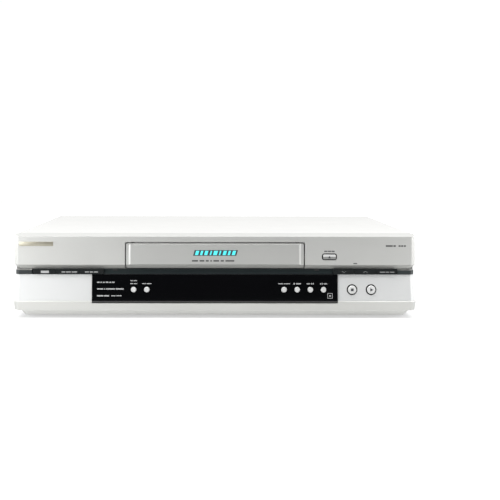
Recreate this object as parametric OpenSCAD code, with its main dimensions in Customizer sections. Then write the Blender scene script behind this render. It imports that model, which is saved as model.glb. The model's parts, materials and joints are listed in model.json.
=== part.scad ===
// Full-width video cassette recorder with a hinged flap and a front-loading lift, in millimetres.
// +X points to the right of someone who faces it, +Y to its rear and +Z up.
// The origin lies on the floor, below the middle of the overall box.

/* [Casing] */
// Overall width, over the lip of the front bezel
body_w = 430; // [424:1:470]
// Overall depth, from the lip to the tips of the rear sockets
body_d = 288; // [260:1:330]
// Thickness of the cover's sheet steel
cover_t = 1; // [0.7:0.1:1.2]
// Outer bend radius of the cover
cover_bend = 2.5; // [1.5:0.1:5]
// Height of the cover's lower edge above the floor
cover_z0 = 9.5; // [8:0.5:11]
// Play between the cover and the parts that it slides over
sheet_gap = 0.2; // [0.1:0.05:0.3]
// Thickness of the chassis pan
pan_t = 1.2; // [0.8:0.1:1.6]
// Height of the pan's side walls
pan_wall = 20; // [14:1:30]
// Thickness of the rear panel
rear_t = 1.6; // [1:0.1:2.5]
// How far the rear sockets stand out of the rear panel
socket_out = 9; // [7:0.5:12]
// Height of the feet
foot_h = 6; // [4:0.5:7]
// Radius of a foot
foot_r = 9; // [6:0.5:14]
// Distance of the feet from the sides, the front and the rear
foot_in = 42; // [30:1:60]
// Width of a cooling slot in the cover's sides
vent_w = 3; // [2:0.5:5]
// Height of a cooling slot
vent_h = 26; // [15:1:40]
// Number of cooling slots in each side
vent_count = 10; // [4:1:14]

/* [Front bezel] */
// Wall of the moulding
wall = 2.2; // [1.8:0.1:2.4]
// Depth of the bezel
bezel_d = 20; // [18:0.5:24]
// Distance from the front panel back to the cover's edge
cover_setback = 14; // [10:0.5:16]
// Chamfer of the upright corners
corner_c = 4.5; // [3:0.5:6]
// How far the lip stands out of the panel
lip_out = 0.9; // [0.6:0.1:1.5]
// Height of the bezel's lowest edge above the floor
keel_z = 2.5; // [2:0.1:4]
// Height of the slope below the lip
keel_h = 6.1; // [5:0.1:8]
// How far that slope runs back
keel_in = 8; // [5:0.5:9]
// How far the ends of that slope lie inside the bezel's ends
keel_end = 7.8; // [5:0.1:12]
// Height of the lip
lip_h = 9.9; // [8:0.1:13]
// Height of the lower panel
lower_h = 28.2; // [27:0.1:34]
// How far the lower panel's top edge lies behind the upper panel
lower_in = 2.4; // [1.6:0.1:2.8]
// Height of the dark strip between the panels
strip_h = 5.8; // [5:0.1:8]
// Depth of the groove that holds the strip
groove = 4.5; // [4.3:0.1:5]
// Height of the slope above the strip
slope_h = 4.6; // [3.5:0.1:6]
// Height of the cassette slot
slot_h = 28.75; // [28:0.05:34]
// Height of the bezel above the slot
brow_h = 8.25; // [7.5:0.05:12]
// How far the bezel's top falls towards the front
brow_drop = 2.3; // [1.5:0.1:2.8]

/* [Cassette] */
// Width of the cassette
tape_w = 187; // [180:1:190]
// Depth of the cassette
tape_d = 103; // [100:1:106]
// Height of the cassette
tape_h = 25; // [24:0.1:25.2]
// Play on each side of the cassette in the slot
slot_play = 2.3; // [1.5:0.1:4]
// Travel of the lift towards the rear
load_travel = 68; // [60:1:72]
// Travel of the holder downwards
load_drop = 24; // [20:0.5:24.5]
// Distance from the cassette's rear edge to its reel hubs
hub_back = 57; // [54:0.5:60]
// Distance between the reel hubs
hub_pitch = 99; // [96:0.5:102]

/* [Keys and window] */
// Travel of every key
key_travel = 0.8; // [0.4:0.1:0.8]
// Play around a key in its hole
fit = 0.3; // [0.2:0.05:0.4]
// Radius of a small round key
small_r = 2.9; // [2.5:0.1:4]
// Distance between small round keys
small_pitch = 14; // [12:0.1:16]
// Place of the leftmost small key on the right, from the window's right end
small_right_x = -57.1; // [-62:0.1:-55]
// Place of the leftmost small key on the left, from the window's left end
small_left_x = 44.3; // [41:0.1:49]
// Height of the round keys above the lower panel's bottom
key_row = 12.1; // [10:0.1:14]
// Radius of a large round key
large_r = 4.5; // [4:0.1:6]
// Open ring round a large key
large_gap = 1.2; // [0.5:0.1:1.4]
// Place of the first large key, from the window's right end
large_x = 15.5; // [12:0.1:19]
// Distance between the large keys
large_pitch = 20.3; // [17:0.1:24]
// Width of the eject button
eject_w = 13.6; // [10:0.1:18]
// Height of the eject button
eject_h = 4.8; // [4:0.1:7]
// Open gap round the eject button
eject_gap = 1.2; // [0.5:0.1:1.4]
// Place of the eject button across the panel
eject_x = 122; // [116:1:150]
// Height of the eject button above the strip
eject_up = 13.2; // [11:0.1:16]
// Distance from the side of the casing to the outer ends of the strip keys
strip_key_end = 19.5; // [16:0.1:24]
// Width of a strip key on the left
strip_key_l = 25.4; // [20:0.1:27]
// Width of a strip key on the right
strip_key_r = 22.8; // [18:0.1:25]
// Width of the display window
window_w = 261.6; // [250:0.1:264]
// How far the window reaches down over the lip
window_low = 2.5; // [1:0.1:3]
// How far the window stands out of the lower panel
window_out = 1.3; // [0.8:0.1:1.3]

/* [Boards] */
// Thickness of the circuit boards
board_t = 1.6; // [1:0.1:2]
// Distance from the front panel back to the front board
front_board_in = 12.2; // [12:0.1:13]
// Height of a key switch over the board
switch_h = 4.4; // [4:0.1:4.6]
// Height of the rear boards above the pan
board_up = 6.8; // [5:0.1:9]
// Width of the power board and of the main board
board_w = 91; // [80:1:91]

/* [Tape path] */
// Radius of the head drum
drum_r = 31; // [30:0.1:31.5]
// Lean of the head drum
drum_lean = 5.5; // [4:0.1:6]
// Distance from the loaded cassette's rear edge to the drum's axis
drum_back = 40; // [38:0.5:44]
// Radius of the capstan
capstan_r = 1.5; // [1.2:0.1:2]
// Radius of the pinch roller
pinch_r = 6.5; // [5:0.1:6.8]
// Swing of the pinch arm
pinch_swing = 40; // [30:1:40]
// Radius of a reel table
reel_r = 22; // [18:0.5:22]
// Radius of the idler wheel
idler_r = 14; // [12:0.5:14]
// Running play of a shaft in its bore
run_gap = 0.05; // [0.02:0.01:0.08]
// Thickness of the mechanism deck
deck_t = 1.6; // [1.2:0.1:2]
// Height of the reel seats above the deck
reel_seat = 8; // [7:0.5:9]

/* [Gears] */
// Module of the lift's rack and pinion
lift_module = 1; // [0.8:0.05:1.2]
// Teeth of the lift pinion
lift_teeth = 20; // [16:1:22]
// Module of the loading gears
cam_module = 0.8; // [0.7:0.05:0.9]
// Teeth of the cam gear
cam_teeth = 44; // [36:1:46]
// Teeth of the loading motor's pinion
motor_teeth = 12; // [12:1:16]
// Play between meshed teeth
backlash = 0.4; // [0.3:0.05:0.5]

/* [Hidden] */

$fn = 48;
// Longer than any size of the object
far = 1000;

// Colours
silver = "silver";
pale = "whitesmoke";
dark = "black";
zinc = "lightsteelblue";
board_green = "darkgreen";
white = "white";

// Levels of the casing
side_x = body_w / 2 - lip_out;
panel_y = lip_out - body_d / 2;
rear_y = body_d / 2 - socket_out;
cover_y0 = panel_y + cover_setback;
bezel_y1 = panel_y + bezel_d;
pan_z1 = foot_h + pan_t;
lip_z0 = keel_z + keel_h;
lower_z0 = lip_z0 + lip_h;
strip_z0 = lower_z0 + lower_h;
strip_z1 = strip_z0 + strip_h;
slope_z1 = strip_z1 + slope_h;
slot_z1 = strip_z1 + slot_h;
body_h = slot_z1 + brow_h;
brow_z = body_h - brow_drop;
inner_x = side_x - cover_t - sheet_gap;
inner_top = body_h - cover_t - sheet_gap;
rear_flange_h = 9;

// Outline of the bezel from the side, as distances behind the panel and heights
lower_step = 0.4;
lip_lean = 1.2;
lip_edge = 0.5;
keel_top_in = 1.5;
keel_end_in = 3.8;
groove_wall = 1.6;
bezel_outline = [
    [keel_in, keel_z],
    [keel_top_in, lip_z0],
    [lip_lean - lip_out, lip_z0],
    [-lip_out, lower_z0 - lip_edge],
    [lip_edge - lip_out, lower_z0],
    [lower_step, lower_z0],
    [lower_in, strip_z0],
    [groove, strip_z0],
    [groove, strip_z1],
    [0, slope_z1],
    [0, body_h]
];
hollow_outline = [
    [keel_in + wall, keel_z + wall],
    [lower_step + wall, lip_z0 + wall],
    [lower_step + wall, lower_z0],
    [lower_in + wall, strip_z0 - wall],
    [groove + groove_wall, strip_z0 - wall],
    [groove + groove_wall, strip_z1 + lip_edge],
    [wall, slope_z1 + lip_lean],
    [wall, brow_z - wall]
];
// Distance of the lower panel behind the upper one at a height
function lower_inset(z) = lower_step + (lower_in - lower_step) * (z - lower_z0) / lower_h;

// Cassette slot and flap
slot_w = tape_w + 2 * slot_play;
slot_r = 2;
flap_gap = 1.1;
flap_foot_gap = 0.6;
flap_w = slot_w - 2 * flap_gap;
flap_z0 = strip_z1 + flap_foot_gap;
flap_z1 = slot_z1 - flap_gap;
flap_t = 1.8;
flap_pad = 0.7;
flap_pad_in = 3;
flap_ramp = 2;
flap_bevel = 0.8;
flap_slope_in = groove * (slope_z1 - flap_z0) / slope_h;
hinge_r = 1.5;
hinge_pin_r = 1;
hinge_gap = 0.3;
hinge_y = panel_y + wall + hinge_r + hinge_gap;
hinge_z = brow_z - wall - hinge_r - hinge_gap;
hinge_ear = 5;
hinge_pin = 4;
hinge_bracket = 3;

// Cassette at rest in the holder, and the lift around it
lift_gap = 2.5;
lift_y0 = hinge_y + hinge_z - flap_z0 + lift_gap;
tape_z = strip_z1 + 0.9;
holder_t = 1;
holder_play = 0.8;
holder_x = tape_w / 2 + holder_play + holder_t;
holder_y0 = lift_y0 + 1.5;
holder_d = 50;
holder_y1 = holder_y0 + holder_d;
holder_z1 = tape_z + tape_h + 0.5 + holder_t;
holder_ledge = 9;
holder_ledge_gap = 0.2;
holder_stop_w = 22;
holder_stop_h = 10;
holder_pin_z = tape_z + 14;
sled_t = 1.2;
sled_x = holder_x + 2.7;
sled_y0 = lift_y0 + 2;
sled_d = 48;
sled_z0 = holder_pin_z - load_drop - 6;
sled_top = holder_z1 + 0.5 + sled_t;
sled_bridge = 16;
lift_pin_r = 1.9;
lift_slot_gap = 0.3;
frame_t = 1.5;
frame_x = sled_x + sled_t + 0.8;
frame_z1 = sled_top + 1.7;
frame_d = 126;
frame_foot = 9;
frame_foot_in = 30;
sled_pin_z = sled_top - 5;
sled_pins_y = [sled_y0 + 5, sled_y0 + sled_d - 5];
holder_pins_y = [sled_y0 + 14, sled_y0 + sled_d - 14];

// Lift rack on the right, above its pinion
rack_t = 2;
rack_gap = 0.8;
rack_x = frame_x + frame_t + rack_gap;
rack_back = 4;
rack_margin = 8;
rack_len = load_travel + 2 * rack_margin;
rack_root_z = sled_pin_z - rack_back / 2;
rack_pitch_z = rack_root_z - 1.25 * lift_module;
pinion_r = lift_module * lift_teeth / 2;
pinion_y = sled_y0 + load_travel + rack_margin;
pinion_z = rack_pitch_z - pinion_r;
pinion_shaft_r = 2;

// Mechanism deck
deck_z1 = tape_z - load_drop - reel_seat;
deck_z0 = deck_z1 - deck_t;
deck_x = frame_x + frame_t + 11;
deck_y0 = lift_y0;
tape_rear = holder_y1 - holder_t + load_travel;
drum_y = tape_rear + drum_back;
deck_y1 = drum_y + drum_r + 5;
deck_post_r = 4;
deck_posts = [for (sx = [-1, 1], y = [deck_y0 + 8, deck_y1 - 8]) [sx * (deck_x - 5), y]];
screw_r = 1.5;
screw_gap = 0.1;
screw_head_r = 3;
screw_head_h = 2;

// Places on the deck
reel_y = tape_rear - hub_back;
reels = [-hub_pitch / 2, hub_pitch / 2];
spindle_r = 1.5;
clutch_y = reel_y + 25;
idler_arm_len = 40;
clutch_r = idler_arm_len - idler_r - 0.4;
idler_y = clutch_y - idler_arm_len;
guide_rest = [26, tape_rear - 12];
guide_end = [44, drum_y + 4];
guide_dir = guide_end - guide_rest;
guide_angle = atan2(guide_dir[1], guide_dir[0]);
guide_travel = norm(guide_dir);
guide_foot_r = 5.5;
guide_tail_r = 1.6;
guide_slot_gap = 0.4;
guide_post_z = tape_z - 2;
capstan_at = [64, tape_rear + 12];
capstan_sleeve_r = 5;
pinch_pivot = [86, tape_rear + 24];
pinch_len = 17.2;
pinch_rest = 160;
pinch_shaft_r = 1.5;
pinch_at = pinch_pivot + pinch_len * [cos(pinch_rest), sin(pinch_rest)];
pivot_r = 2;
tension_at = [-78, tape_rear + 12];
tension_pole = [18, -7];
erase_at = [-57, tape_rear + 18];
audio_at = [55, tape_rear + 31];
cam_at = [-62, drum_y + 14];
cam_r = cam_module * cam_teeth / 2;
motor_pinion_r = cam_module * motor_teeth / 2;
motor_at = cam_at - [cam_r + motor_pinion_r, 0];
motor_r = 12;
motor_h = 26;
motor_shaft_r = 1;

// Levels under the deck
belt_z0 = pan_z1 + 1.6;
belt_h = 2.6;
belt_t = 1.2;
belt_gap = 0.3;
rotor_z0 = belt_z0 + belt_h + 0.4;
rotor_z1 = rotor_z0 + 3.6;
rotor_r = 24;
capstan_pulley_r = 8;
clutch_pulley_r = 15;
cam_z0 = rotor_z0 + 0.4;
cam_h = 4;

// Boards and rear sockets
board_z0 = pan_z1 + board_up;
board_z1 = board_z0 + board_t;
board_x1 = inner_x - 6;
board_x0 = board_x1 - board_w;
board_y1 = rear_y - rear_t - 2;
socket_strip = 16;
inlet_at = [-(board_x1 - 22), board_z1 + 12];
inlet_w = 24;
inlet_h = 17;
inlet_d = 15;
inlet_pin_pitch = 8.6;
scart_x = [20, 82];
scart_w = 48;
scart_h = 15;
scart_d = 16;
scart_z = board_z1 + scart_h / 2;
scart_lip = 4;
jack_x = [board_x0 + 20, board_x0 + 38];
jack_z = board_z1 + 8;
jack_r = 4.15;
jack_bore_r = 1.65;
tuner_w = 56;
tuner_h = 40;
tuner_x = -74;
tuner_d = 14;
aerial_x = [tuner_x - 14, tuner_x + 14];
aerial_z = board_z1 + 24;
aerial_r = 5.6;
aerial_bore_r = 4.76;
aerial_plug_r = 4.7;
cutout_gap = 0.2;

// Front board, its switches and the keys in front of them
front_board_y = panel_y + front_board_in;
plunger = 0.9;
plunger_r = 1.75;
switch_w = 6;
press_gap = key_travel + 0.1;
stem_y = front_board_y - switch_h - press_gap;
key_z = lower_z0 + key_row;
strip_mid = strip_z0 + strip_h / 2;
eject_z = strip_z1 + eject_up;
small_left = [for (i = [0:1]) small_left_x - window_w / 2 + i * small_pitch];
small_right = [for (i = [0:3]) small_right_x + window_w / 2 + i * small_pitch];
large_keys = [for (i = [0:1]) large_x + window_w / 2 + i * large_pitch];
strip_key_x = side_x - strip_key_end;
left_keys = [for (i = [0:2]) -strip_key_x + (i + 0.5) * strip_key_l];
right_keys = [for (i = [0:2]) strip_key_x - (2.5 - i) * strip_key_r];
stem_w = 6;
stem_h = 2.4;
collar = 0.7;
collar_t = 1;
collar_gap = 0.3;
eject_corner = 1.2;
strip_plate = 0.8;
strip_end_h = 4.6;
strip_play = 0.05;
strip_key_in = 0.6;
strip_key_d = groove - strip_plate - strip_play - strip_key_in - press_gap;
window_z0 = lower_z0 - window_low;
window_back = wall + 0.1;
window_flange = 2.5;
window_flange_t = 1.2;
board_boss_r = 2.6;
front_board_x = board_x1 - 3;
boss_end_x = front_board_x - 6;
boss_mid_x = 60;
boss_low_z = lip_z0 + 5;
boss_high_z = lower_z0 + 22;
boss_places = [[boss_end_x, boss_low_z], [boss_end_x, boss_high_z], [boss_mid_x, boss_low_z]];
board_bosses = [for (sx = [-1, 1], p = boss_places) [sx * p[0], p[1]]];
front_board_z0 = pan_z1 + 3;
tube_w = 100;
tube_h = 20;

// Block between two opposite corners
module span(low, high) {
    translate(low) cube(high - low);
}

// Shape drawn over Y and Z, drawn out along X
module along_x(x0, x1) {
    translate([x0, 0, 0]) rotate([90, 0, 90]) linear_extrude(x1 - x0) children();
}

// Shape drawn over X and Z, drawn out along Y
module along_y(y0, y1) {
    translate([0, y1, 0]) rotate([90, 0, 0]) linear_extrude(y1 - y0) children();
}

module rod_x(r, x0, x1) {
    translate([x0, 0, 0]) rotate([0, 90, 0]) cylinder(r = r, h = x1 - x0);
}

module rod_y(r, y0, y1) {
    translate([0, y0, 0]) rotate([-90, 0, 0]) cylinder(r = r, h = y1 - y0);
}

module rod_z(r, z0, z1) {
    translate([0, 0, z0]) cylinder(r = r, h = z1 - z0);
}

module both_sides() {
    children();
    mirror([1, 0, 0]) children();
}

// Rectangle with round corners, about its middle
module soft_rect(w, h, r) {
    square([w - 2 * r, h], center = true);
    square([w, h - 2 * r], center = true);
    for (x = [-1, 1], y = [-1, 1])
        translate([x * (w / 2 - r), y * (h / 2 - r)]) circle(r);
}

// Slot with round ends, from the origin along X
module slot_2d(len, r) {
    translate([0, -r]) square([len, 2 * r]);
    circle(r);
    translate([len, 0]) circle(r);
}

// One side of a body whose outline is given as distances behind the face and heights
module faced(turn, reach, outline) {
    top = outline[len(outline) - 1][1];
    bottom = outline[0][1];
    front = [for (p = outline) [p[0] - reach, p[1]]];
    rotate([0, 0, turn]) along_x(-far, far) polygon(concat(front, [[far, top], [far, bottom]]));
}

// Body with the same outline round its front, its chamfered corners and its sides
module wrapped(outline) {
    corner_reach = (side_x - corner_c - panel_y) / sqrt(2);
    intersection() {
        faced(0, -panel_y, outline);
        faced(45, corner_reach, outline);
        faced(-45, corner_reach, outline);
        faced(90, side_x, outline);
        faced(-90, side_x, outline);
    }
}

// Angle of an involute flank from the start of its curve, at a radius
function involute(r, base) = sqrt(pow(r / base, 2) - 1) * 180 / PI - acos(base / r);

// Height of a gear tooth over the pitch circle, in modules; short teeth clear a small pinion's root
stub = 0.78;

// Points of a spur gear's outline
function gear_points(m, teeth) =
    let (
        pressure = 20,
        pitch_r = m * teeth / 2,
        base = pitch_r * cos(pressure),
        root = pitch_r - 1.25 * m,
        tip = pitch_r + stub * m,
        start = max(base, root) + 0.001,
        steps = 4,
        half = (PI * m / 2 - backlash / 2) / (2 * pitch_r) * 180 / PI + involute(pitch_r, base),
        radii = [for (i = [0:steps]) start + (tip - start) * i / steps]
    )
    [for (k = [0:teeth - 1])
        let (
            mid = 360 * k / teeth,
            out = [for (r = radii) [r, mid - half + involute(r, base)]],
            back = [for (i = [steps:-1:0]) [radii[i], mid + half - involute(radii[i], base)]],
            low = [[root, mid - half]],
            high = [[root, mid + half]]
        )
        for (p = concat(low, out, back, high)) p[0] * [cos(p[1]), sin(p[1])]
    ];

// Tube that winds as a helix along X, its middle line at radius r
module coil_x(r, wire, pitch, turns) {
    rings = turns * 12;
    sides = 6;
    points = [for (i = [0:rings], s = [0:sides - 1])
        let (
            a = 360 * turns * i / rings,
            b = 360 * s / sides,
            q = r + wire * cos(b)
        )
        [pitch * turns * i / rings + wire * sin(b), q * cos(a), q * sin(a)]];
    skin = [for (i = [0:rings - 1], s = [0:sides - 1])
        let (
            a = i * sides + s,
            b = i * sides + (s + 1) % sides
        )
        each [[a, b, b + sides], [a, b + sides, a + sides]]];
    first = [for (s = [1:sides - 2]) [0, s + 1, s]];
    last = [for (s = [1:sides - 2]) [rings * sides, rings * sides + s, rings * sides + s + 1]];
    polyhedron(points, concat(skin, first, last));
}

// Casing

module chassis_pan() color(zinc) {
    y1 = rear_y - rear_t;
    wall_in = inner_x - pan_t;
    difference() {
        union() {
            span([-inner_x, bezel_y1, foot_h], [inner_x, y1, pan_z1]);
            both_sides() span([wall_in, bezel_y1, foot_h], [inner_x, y1, pan_z1 + pan_wall]);
            for (p = deck_posts) translate(p) rod_z(deck_post_r, foot_h, deck_z0);
            for (p = board_pillars) translate(p) rod_z(deck_post_r, foot_h, board_z0);
        }
        for (p = deck_posts) translate(p) rod_z(screw_r + screw_gap, foot_h + pan_t, far);
        both_sides() for (y = side_screws_y)
            translate([0, y, side_screw_z]) rod_x(screw_r + screw_gap, wall_in - 1, far);
    }
}

side_screws_y = [bezel_y1 + 50, rear_y - 50];
side_screw_z = cover_z0 + 8;
side_head_h = lip_out - 0.1;
rear_screws_x = [-side_x * 0.8, 0, side_x * 0.8];
rear_screw_z = body_h - rear_flange_h / 2;
board_pillars = [for (sx = [-1, 1], x = [board_x0 + 6, board_x1 - 6], y = [lift_y0 + 46, board_y1 - 6])
    [sx * x, y]];

module top_cover() color(pale) {
    vent_y0 = rear_y - 40 - vent_count * 2 * vent_w;
    bend_in = max(cover_bend - cover_t, 0.1);
    difference() {
        along_y(cover_y0, rear_y + cover_t) cover_shell(side_x, body_h, cover_bend);
        along_y(cover_y0 - 1, rear_y) cover_shell(side_x - cover_t, body_h - cover_t, bend_in);
        span([-far, rear_y, -far], [far, far, body_h - rear_flange_h]);
        both_sides() for (i = [0:vent_count - 1])
            translate([0, vent_y0 + i * 2 * vent_w, body_h - vent_h - 14])
                span([side_x - 2 * cover_t, 0, 0], [side_x + cover_t, vent_w, vent_h]);
        both_sides() for (y = side_screws_y)
            translate([0, y, side_screw_z]) rod_x(screw_r + screw_gap, side_x - 2 * cover_t, far);
        for (x = rear_screws_x)
            translate([x, 0, rear_screw_z]) rod_y(screw_r + screw_gap, rear_y - 1, far);
    }
}

// Front view of the cover: an arch with bent upper corners
module cover_shell(half_w, top, r) {
    translate([-half_w, cover_z0]) square([2 * half_w, top - cover_z0 - r]);
    translate([r - half_w, cover_z0]) square([2 * (half_w - r), top - cover_z0]);
    for (sx = [-1, 1]) translate([sx * (half_w - r), top - r]) circle(r);
}

module rear_panel() color(dark) difference() {
    span([-inner_x, rear_y - rear_t, pan_z1 - pan_t], [inner_x, rear_y, inner_top]);
    translate([inlet_at[0], 0, inlet_at[1]]) rear_hole(inlet_w, inlet_h);
    for (x = scart_x) translate([x, 0, scart_z]) rear_hole(scart_w, scart_h);
    for (x = jack_x)
        translate([x, 0, jack_z]) rod_y(jack_r + 1 + cutout_gap, rear_y - far, far);
    for (x = aerial_x)
        translate([x, 0, aerial_z]) rod_y(aerial_r + cutout_gap, rear_y - far, far);
    for (x = rear_screws_x)
        translate([x, 0, rear_screw_z]) rod_y(screw_r + screw_gap, rear_y - far, far);
}

module rear_hole(w, h) {
    along_y(rear_y - far, rear_y + far) square([w + 2 * cutout_gap, h + 2 * cutout_gap], center = true);
}

module front_bezel() color(silver) difference() {
    union() {
        difference() {
            bezel_body();
            difference() {
                wrapped(hollow_outline);
                keel_ends(wall);
            }
            keel_ends(0);
        }
        both_sides() hinge_ear_block();
        for (p = board_bosses)
            translate([p[0], 0, p[1]]) rod_y(board_boss_r, panel_y + wall, front_board_y);
    }
    translate([0, 0, (strip_z1 + slot_z1) / 2])
        along_y(panel_y - far, bezel_y1 + 1) soft_rect(slot_w, slot_h, slot_r);
    along_x(-window_w / 2 - cutout_gap, window_w / 2 + cutout_gap) window_hole_side();
    both_sides() translate([0, hinge_y, hinge_z])
        rod_x(hinge_pin_r + run_gap, flap_w / 2, bracket_x + hinge_bracket + 0.5);
    translate([eject_x, 0, eject_z])
        along_y(panel_y - 1, panel_y + wall + 1) soft_rect(eject_w + 2 * eject_gap, eject_h + 2 * eject_gap, eject_corner + eject_gap);
    for (x = large_keys)
        translate([x, 0, key_z]) rod_y(large_r + large_gap, panel_y - far, panel_y + groove + wall);
    for (x = concat(left_keys, right_keys)) translate([x, 0, strip_mid]) stem_hole();
}

module bezel_body() intersection() {
    wrapped(bezel_outline);
    union() {
        span([-far, -far, -far], [far, cover_y0 - sheet_gap, far]);
        span([-inner_x, panel_y, -far], [inner_x, bezel_y1, inner_top]);
    }
    along_x(-far, far) polygon([
        [panel_y - lip_out, -far],
        [bezel_y1, -far],
        [bezel_y1, body_h],
        [panel_y + cover_setback, body_h],
        [panel_y, brow_z],
        [panel_y - lip_out, brow_z]
    ]);
}

// Room beyond the ends of the slope below the lip, and further in by a wall
module keel_ends(further) both_sides() along_y(-far, far) {
    end_x = side_x - keel_end - further;
    low = keel_h + further + 1;
    polygon([
        [end_x, lip_z0 + further],
        [far, lip_z0 + further],
        [far, lip_z0 + further - low],
        [end_x - keel_end_in * low / keel_h, lip_z0 + further - low]
    ]);
}

// Bracket behind the brow that carries the flap's hinge pin
module hinge_ear_block() {
    span([bracket_x, panel_y + wall / 2, hinge_z - hinge_r - 1],
        [bracket_x + hinge_bracket, hinge_y + hinge_r + 1, brow_z - wall / 2]);
}

bracket_x = flap_w / 2 + hinge_gap + 0.4;

// Side view of the opening for the display window, with a rest for its top edge
module window_hole_side() {
    rest_z = strip_z0 - wall;
    polygon([
        [panel_y - far, window_z0],
        [panel_y + lower_step + wall + 0.3, window_z0],
        [panel_y + lower_in + wall + 0.3, rest_z],
        [panel_y + groove - 0.3, rest_z],
        [panel_y + groove - 0.3, strip_z0 + 0.3],
        [panel_y - far, strip_z0 + 0.3]
    ]);
}

module stem_hole() {
    along_y(panel_y, panel_y + groove + groove_wall + 1)
        square([stem_w + 2 * fit, stem_h + 2 * fit], center = true);
}

module trim_strip() color(dark) difference() {
    union() {
        strip_layer([[groove - strip_play - strip_plate, strip_z0 + strip_play],
            [groove - strip_play - strip_plate, strip_z1 - strip_play]]);
        intersection() {
            strip_layer([[lower_in - 1, strip_z0 + strip_play], [lower_in - 1, strip_z0 + strip_end_h],
                [groove - strip_plate, strip_z1 - strip_play]]);
            both_sides() span([strip_key_x + fit, -far, 0], [far, far, body_h]);
        }
        intersection() {
            strip_layer([[lower_in, strip_z0 + strip_play], [lower_in, strip_z0 + strip_h * 0.2],
                [groove - strip_plate, strip_z1 - 1]]);
            span([fit - strip_key_x + 3 * strip_key_l, -far, 0],
                [strip_key_x - 3 * strip_key_r - fit, far, body_h]);
        }
    }
    for (x = concat(left_keys, right_keys)) translate([x, 0, strip_mid]) stem_hole();
}

// Layer in the groove, from an outline in front back to the groove's wall
module strip_layer(outline) intersection() {
    difference() {
        wrapped(outline);
        wrapped([[groove - strip_play, -1], [groove - strip_play, body_h]]);
    }
    span([-far, -far, -1], [far, cover_y0 - sheet_gap, body_h]);
}

module display_window() color(dark) difference() {
    rest_z = strip_z0 - wall - cutout_gap;
    top = strip_z0 - 0.1;
    front_low = panel_y + max(lower_step - window_out, -lip_out);
    union() {
        along_x(-window_w / 2, window_w / 2) polygon([
            [front_low + 1.3, window_z0 + cutout_gap],
            [front_low, window_z0 + window_low],
            [panel_y + lower_inset(top) - window_out, top],
            [panel_y + groove - 0.5, top],
            [panel_y + groove - 0.5, rest_z],
            [panel_y + lower_inset(rest_z) + window_back, rest_z],
            [panel_y + lower_step + window_back, window_z0 + cutout_gap]
        ]);
        along_x(-window_w / 2 - window_flange, window_w / 2 + window_flange) polygon([
            [panel_y + lower_step + window_back, lower_z0],
            [panel_y + lower_inset(rest_z) + window_back, rest_z],
            [panel_y + lower_inset(rest_z) + window_back + window_flange_t, rest_z],
            [panel_y + lower_step + window_back + window_flange_t, lower_z0]
        ]);
    }
    for (x = concat(small_left, small_right))
        translate([x, 0, key_z]) rod_y(small_r + fit, panel_y - far, panel_y + front_board_in);
}

module cassette_flap() color(silver) {
    back = panel_y + flap_t;
    intersection() {
        along_x(-flap_w / 2, flap_w / 2) polygon([
            [panel_y + flap_bevel, flap_z1],
            [panel_y, flap_z1 - flap_bevel],
            [panel_y, slope_z1],
            [panel_y + flap_slope_in, flap_z0],
            [panel_y + flap_slope_in + flap_t, flap_z0],
            [back, slope_z1],
            [back, flap_z1]
        ]);
        translate([0, 0, (flap_z0 + flap_z1) / 2])
            along_y(panel_y - 1, panel_y + wall + groove)
                soft_rect(flap_w, flap_z1 - flap_z0, slot_r - 0.4);
    }
    pad_x = flap_w / 2 - flap_pad_in;
    intersection() {
        along_x(-pad_x, pad_x) polygon([
            [panel_y + 0.2, slope_z1],
            [panel_y - flap_pad, slope_z1 + flap_pad],
            [panel_y - flap_pad, flap_z1 - flap_bevel - flap_pad],
            [panel_y + 0.2, flap_z1 - flap_bevel]
        ]);
        linear_extrude(body_h) polygon([
            [-pad_x, panel_y + wall],
            [-pad_x, panel_y],
            [flap_ramp - pad_x, panel_y - flap_pad],
            [pad_x - flap_ramp, panel_y - flap_pad],
            [pad_x, panel_y],
            [pad_x, panel_y + wall]
        ]);
    }
    both_sides() {
        x1 = flap_w / 2;
        along_x(x1 - hinge_ear, x1) polygon([
            [back - 0.2, flap_z1 - 1],
            [back - 0.2, flap_z1],
            [hinge_y - hinge_r, flap_z1],
            [hinge_y - hinge_r, hinge_z],
            [hinge_y + hinge_r, hinge_z],
            [hinge_y + hinge_r, flap_z1 - 1]
        ]);
        translate([0, hinge_y, hinge_z]) {
            rod_x(hinge_r, x1 - hinge_ear, x1);
            rod_x(hinge_pin_r, x1 - 1, bracket_x + hinge_bracket);
            rod_x(spring_peg_r, x1, bracket_x + hinge_bracket + spring_len + 1);
        }
    }
}

// Closing spring of the flap, round the end of its left hinge pin
module flap_spring() color(zinc) {
    x0 = bracket_x + hinge_bracket + spring_wire + hinge_gap;
    translate([-x0 - spring_len, hinge_y, hinge_z])
        coil_x(hinge_r - spring_wire / 2, spring_wire, spring_len / spring_turns, spring_turns);
}

spring_wire = 0.25;
spring_len = 6;
spring_turns = 5;
spring_peg_r = 0.75;

// Keys

// Cap of a strip key with a stem to its switch; end is -1 or 1 where the outer end slants
module strip_key(x, w, end) color(dark) {
    slant = 1.6;
    half = w / 2 - fit / 2;
    z0 = strip_z0 + cutout_gap;
    z1 = strip_z1 - fit;
    y0 = panel_y + strip_key_in;
    translate([x, 0, 0]) {
        along_y(y0, y0 + strip_key_d) polygon([
            [-half, z0],
            [half, z0],
            [half - (end > 0 ? slant : 0), z1],
            [(end < 0 ? slant : 0) - half, z1]
        ]);
        translate([0, 0, strip_mid])
            along_y(y0 + strip_key_d - 0.1, stem_y) square([stem_w, stem_h], center = true);
    }
}

module power_key() strip_key(left_keys[0], strip_key_l, -1);
module menu_key() strip_key(left_keys[1], strip_key_l, 0);
module page_key() strip_key(left_keys[2], strip_key_l, 0);
module channel_down_key() strip_key(right_keys[0], strip_key_r, 0);
module channel_up_key() strip_key(right_keys[1], strip_key_r, 0);
module timer_key() strip_key(right_keys[2], strip_key_r, 1);

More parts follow.
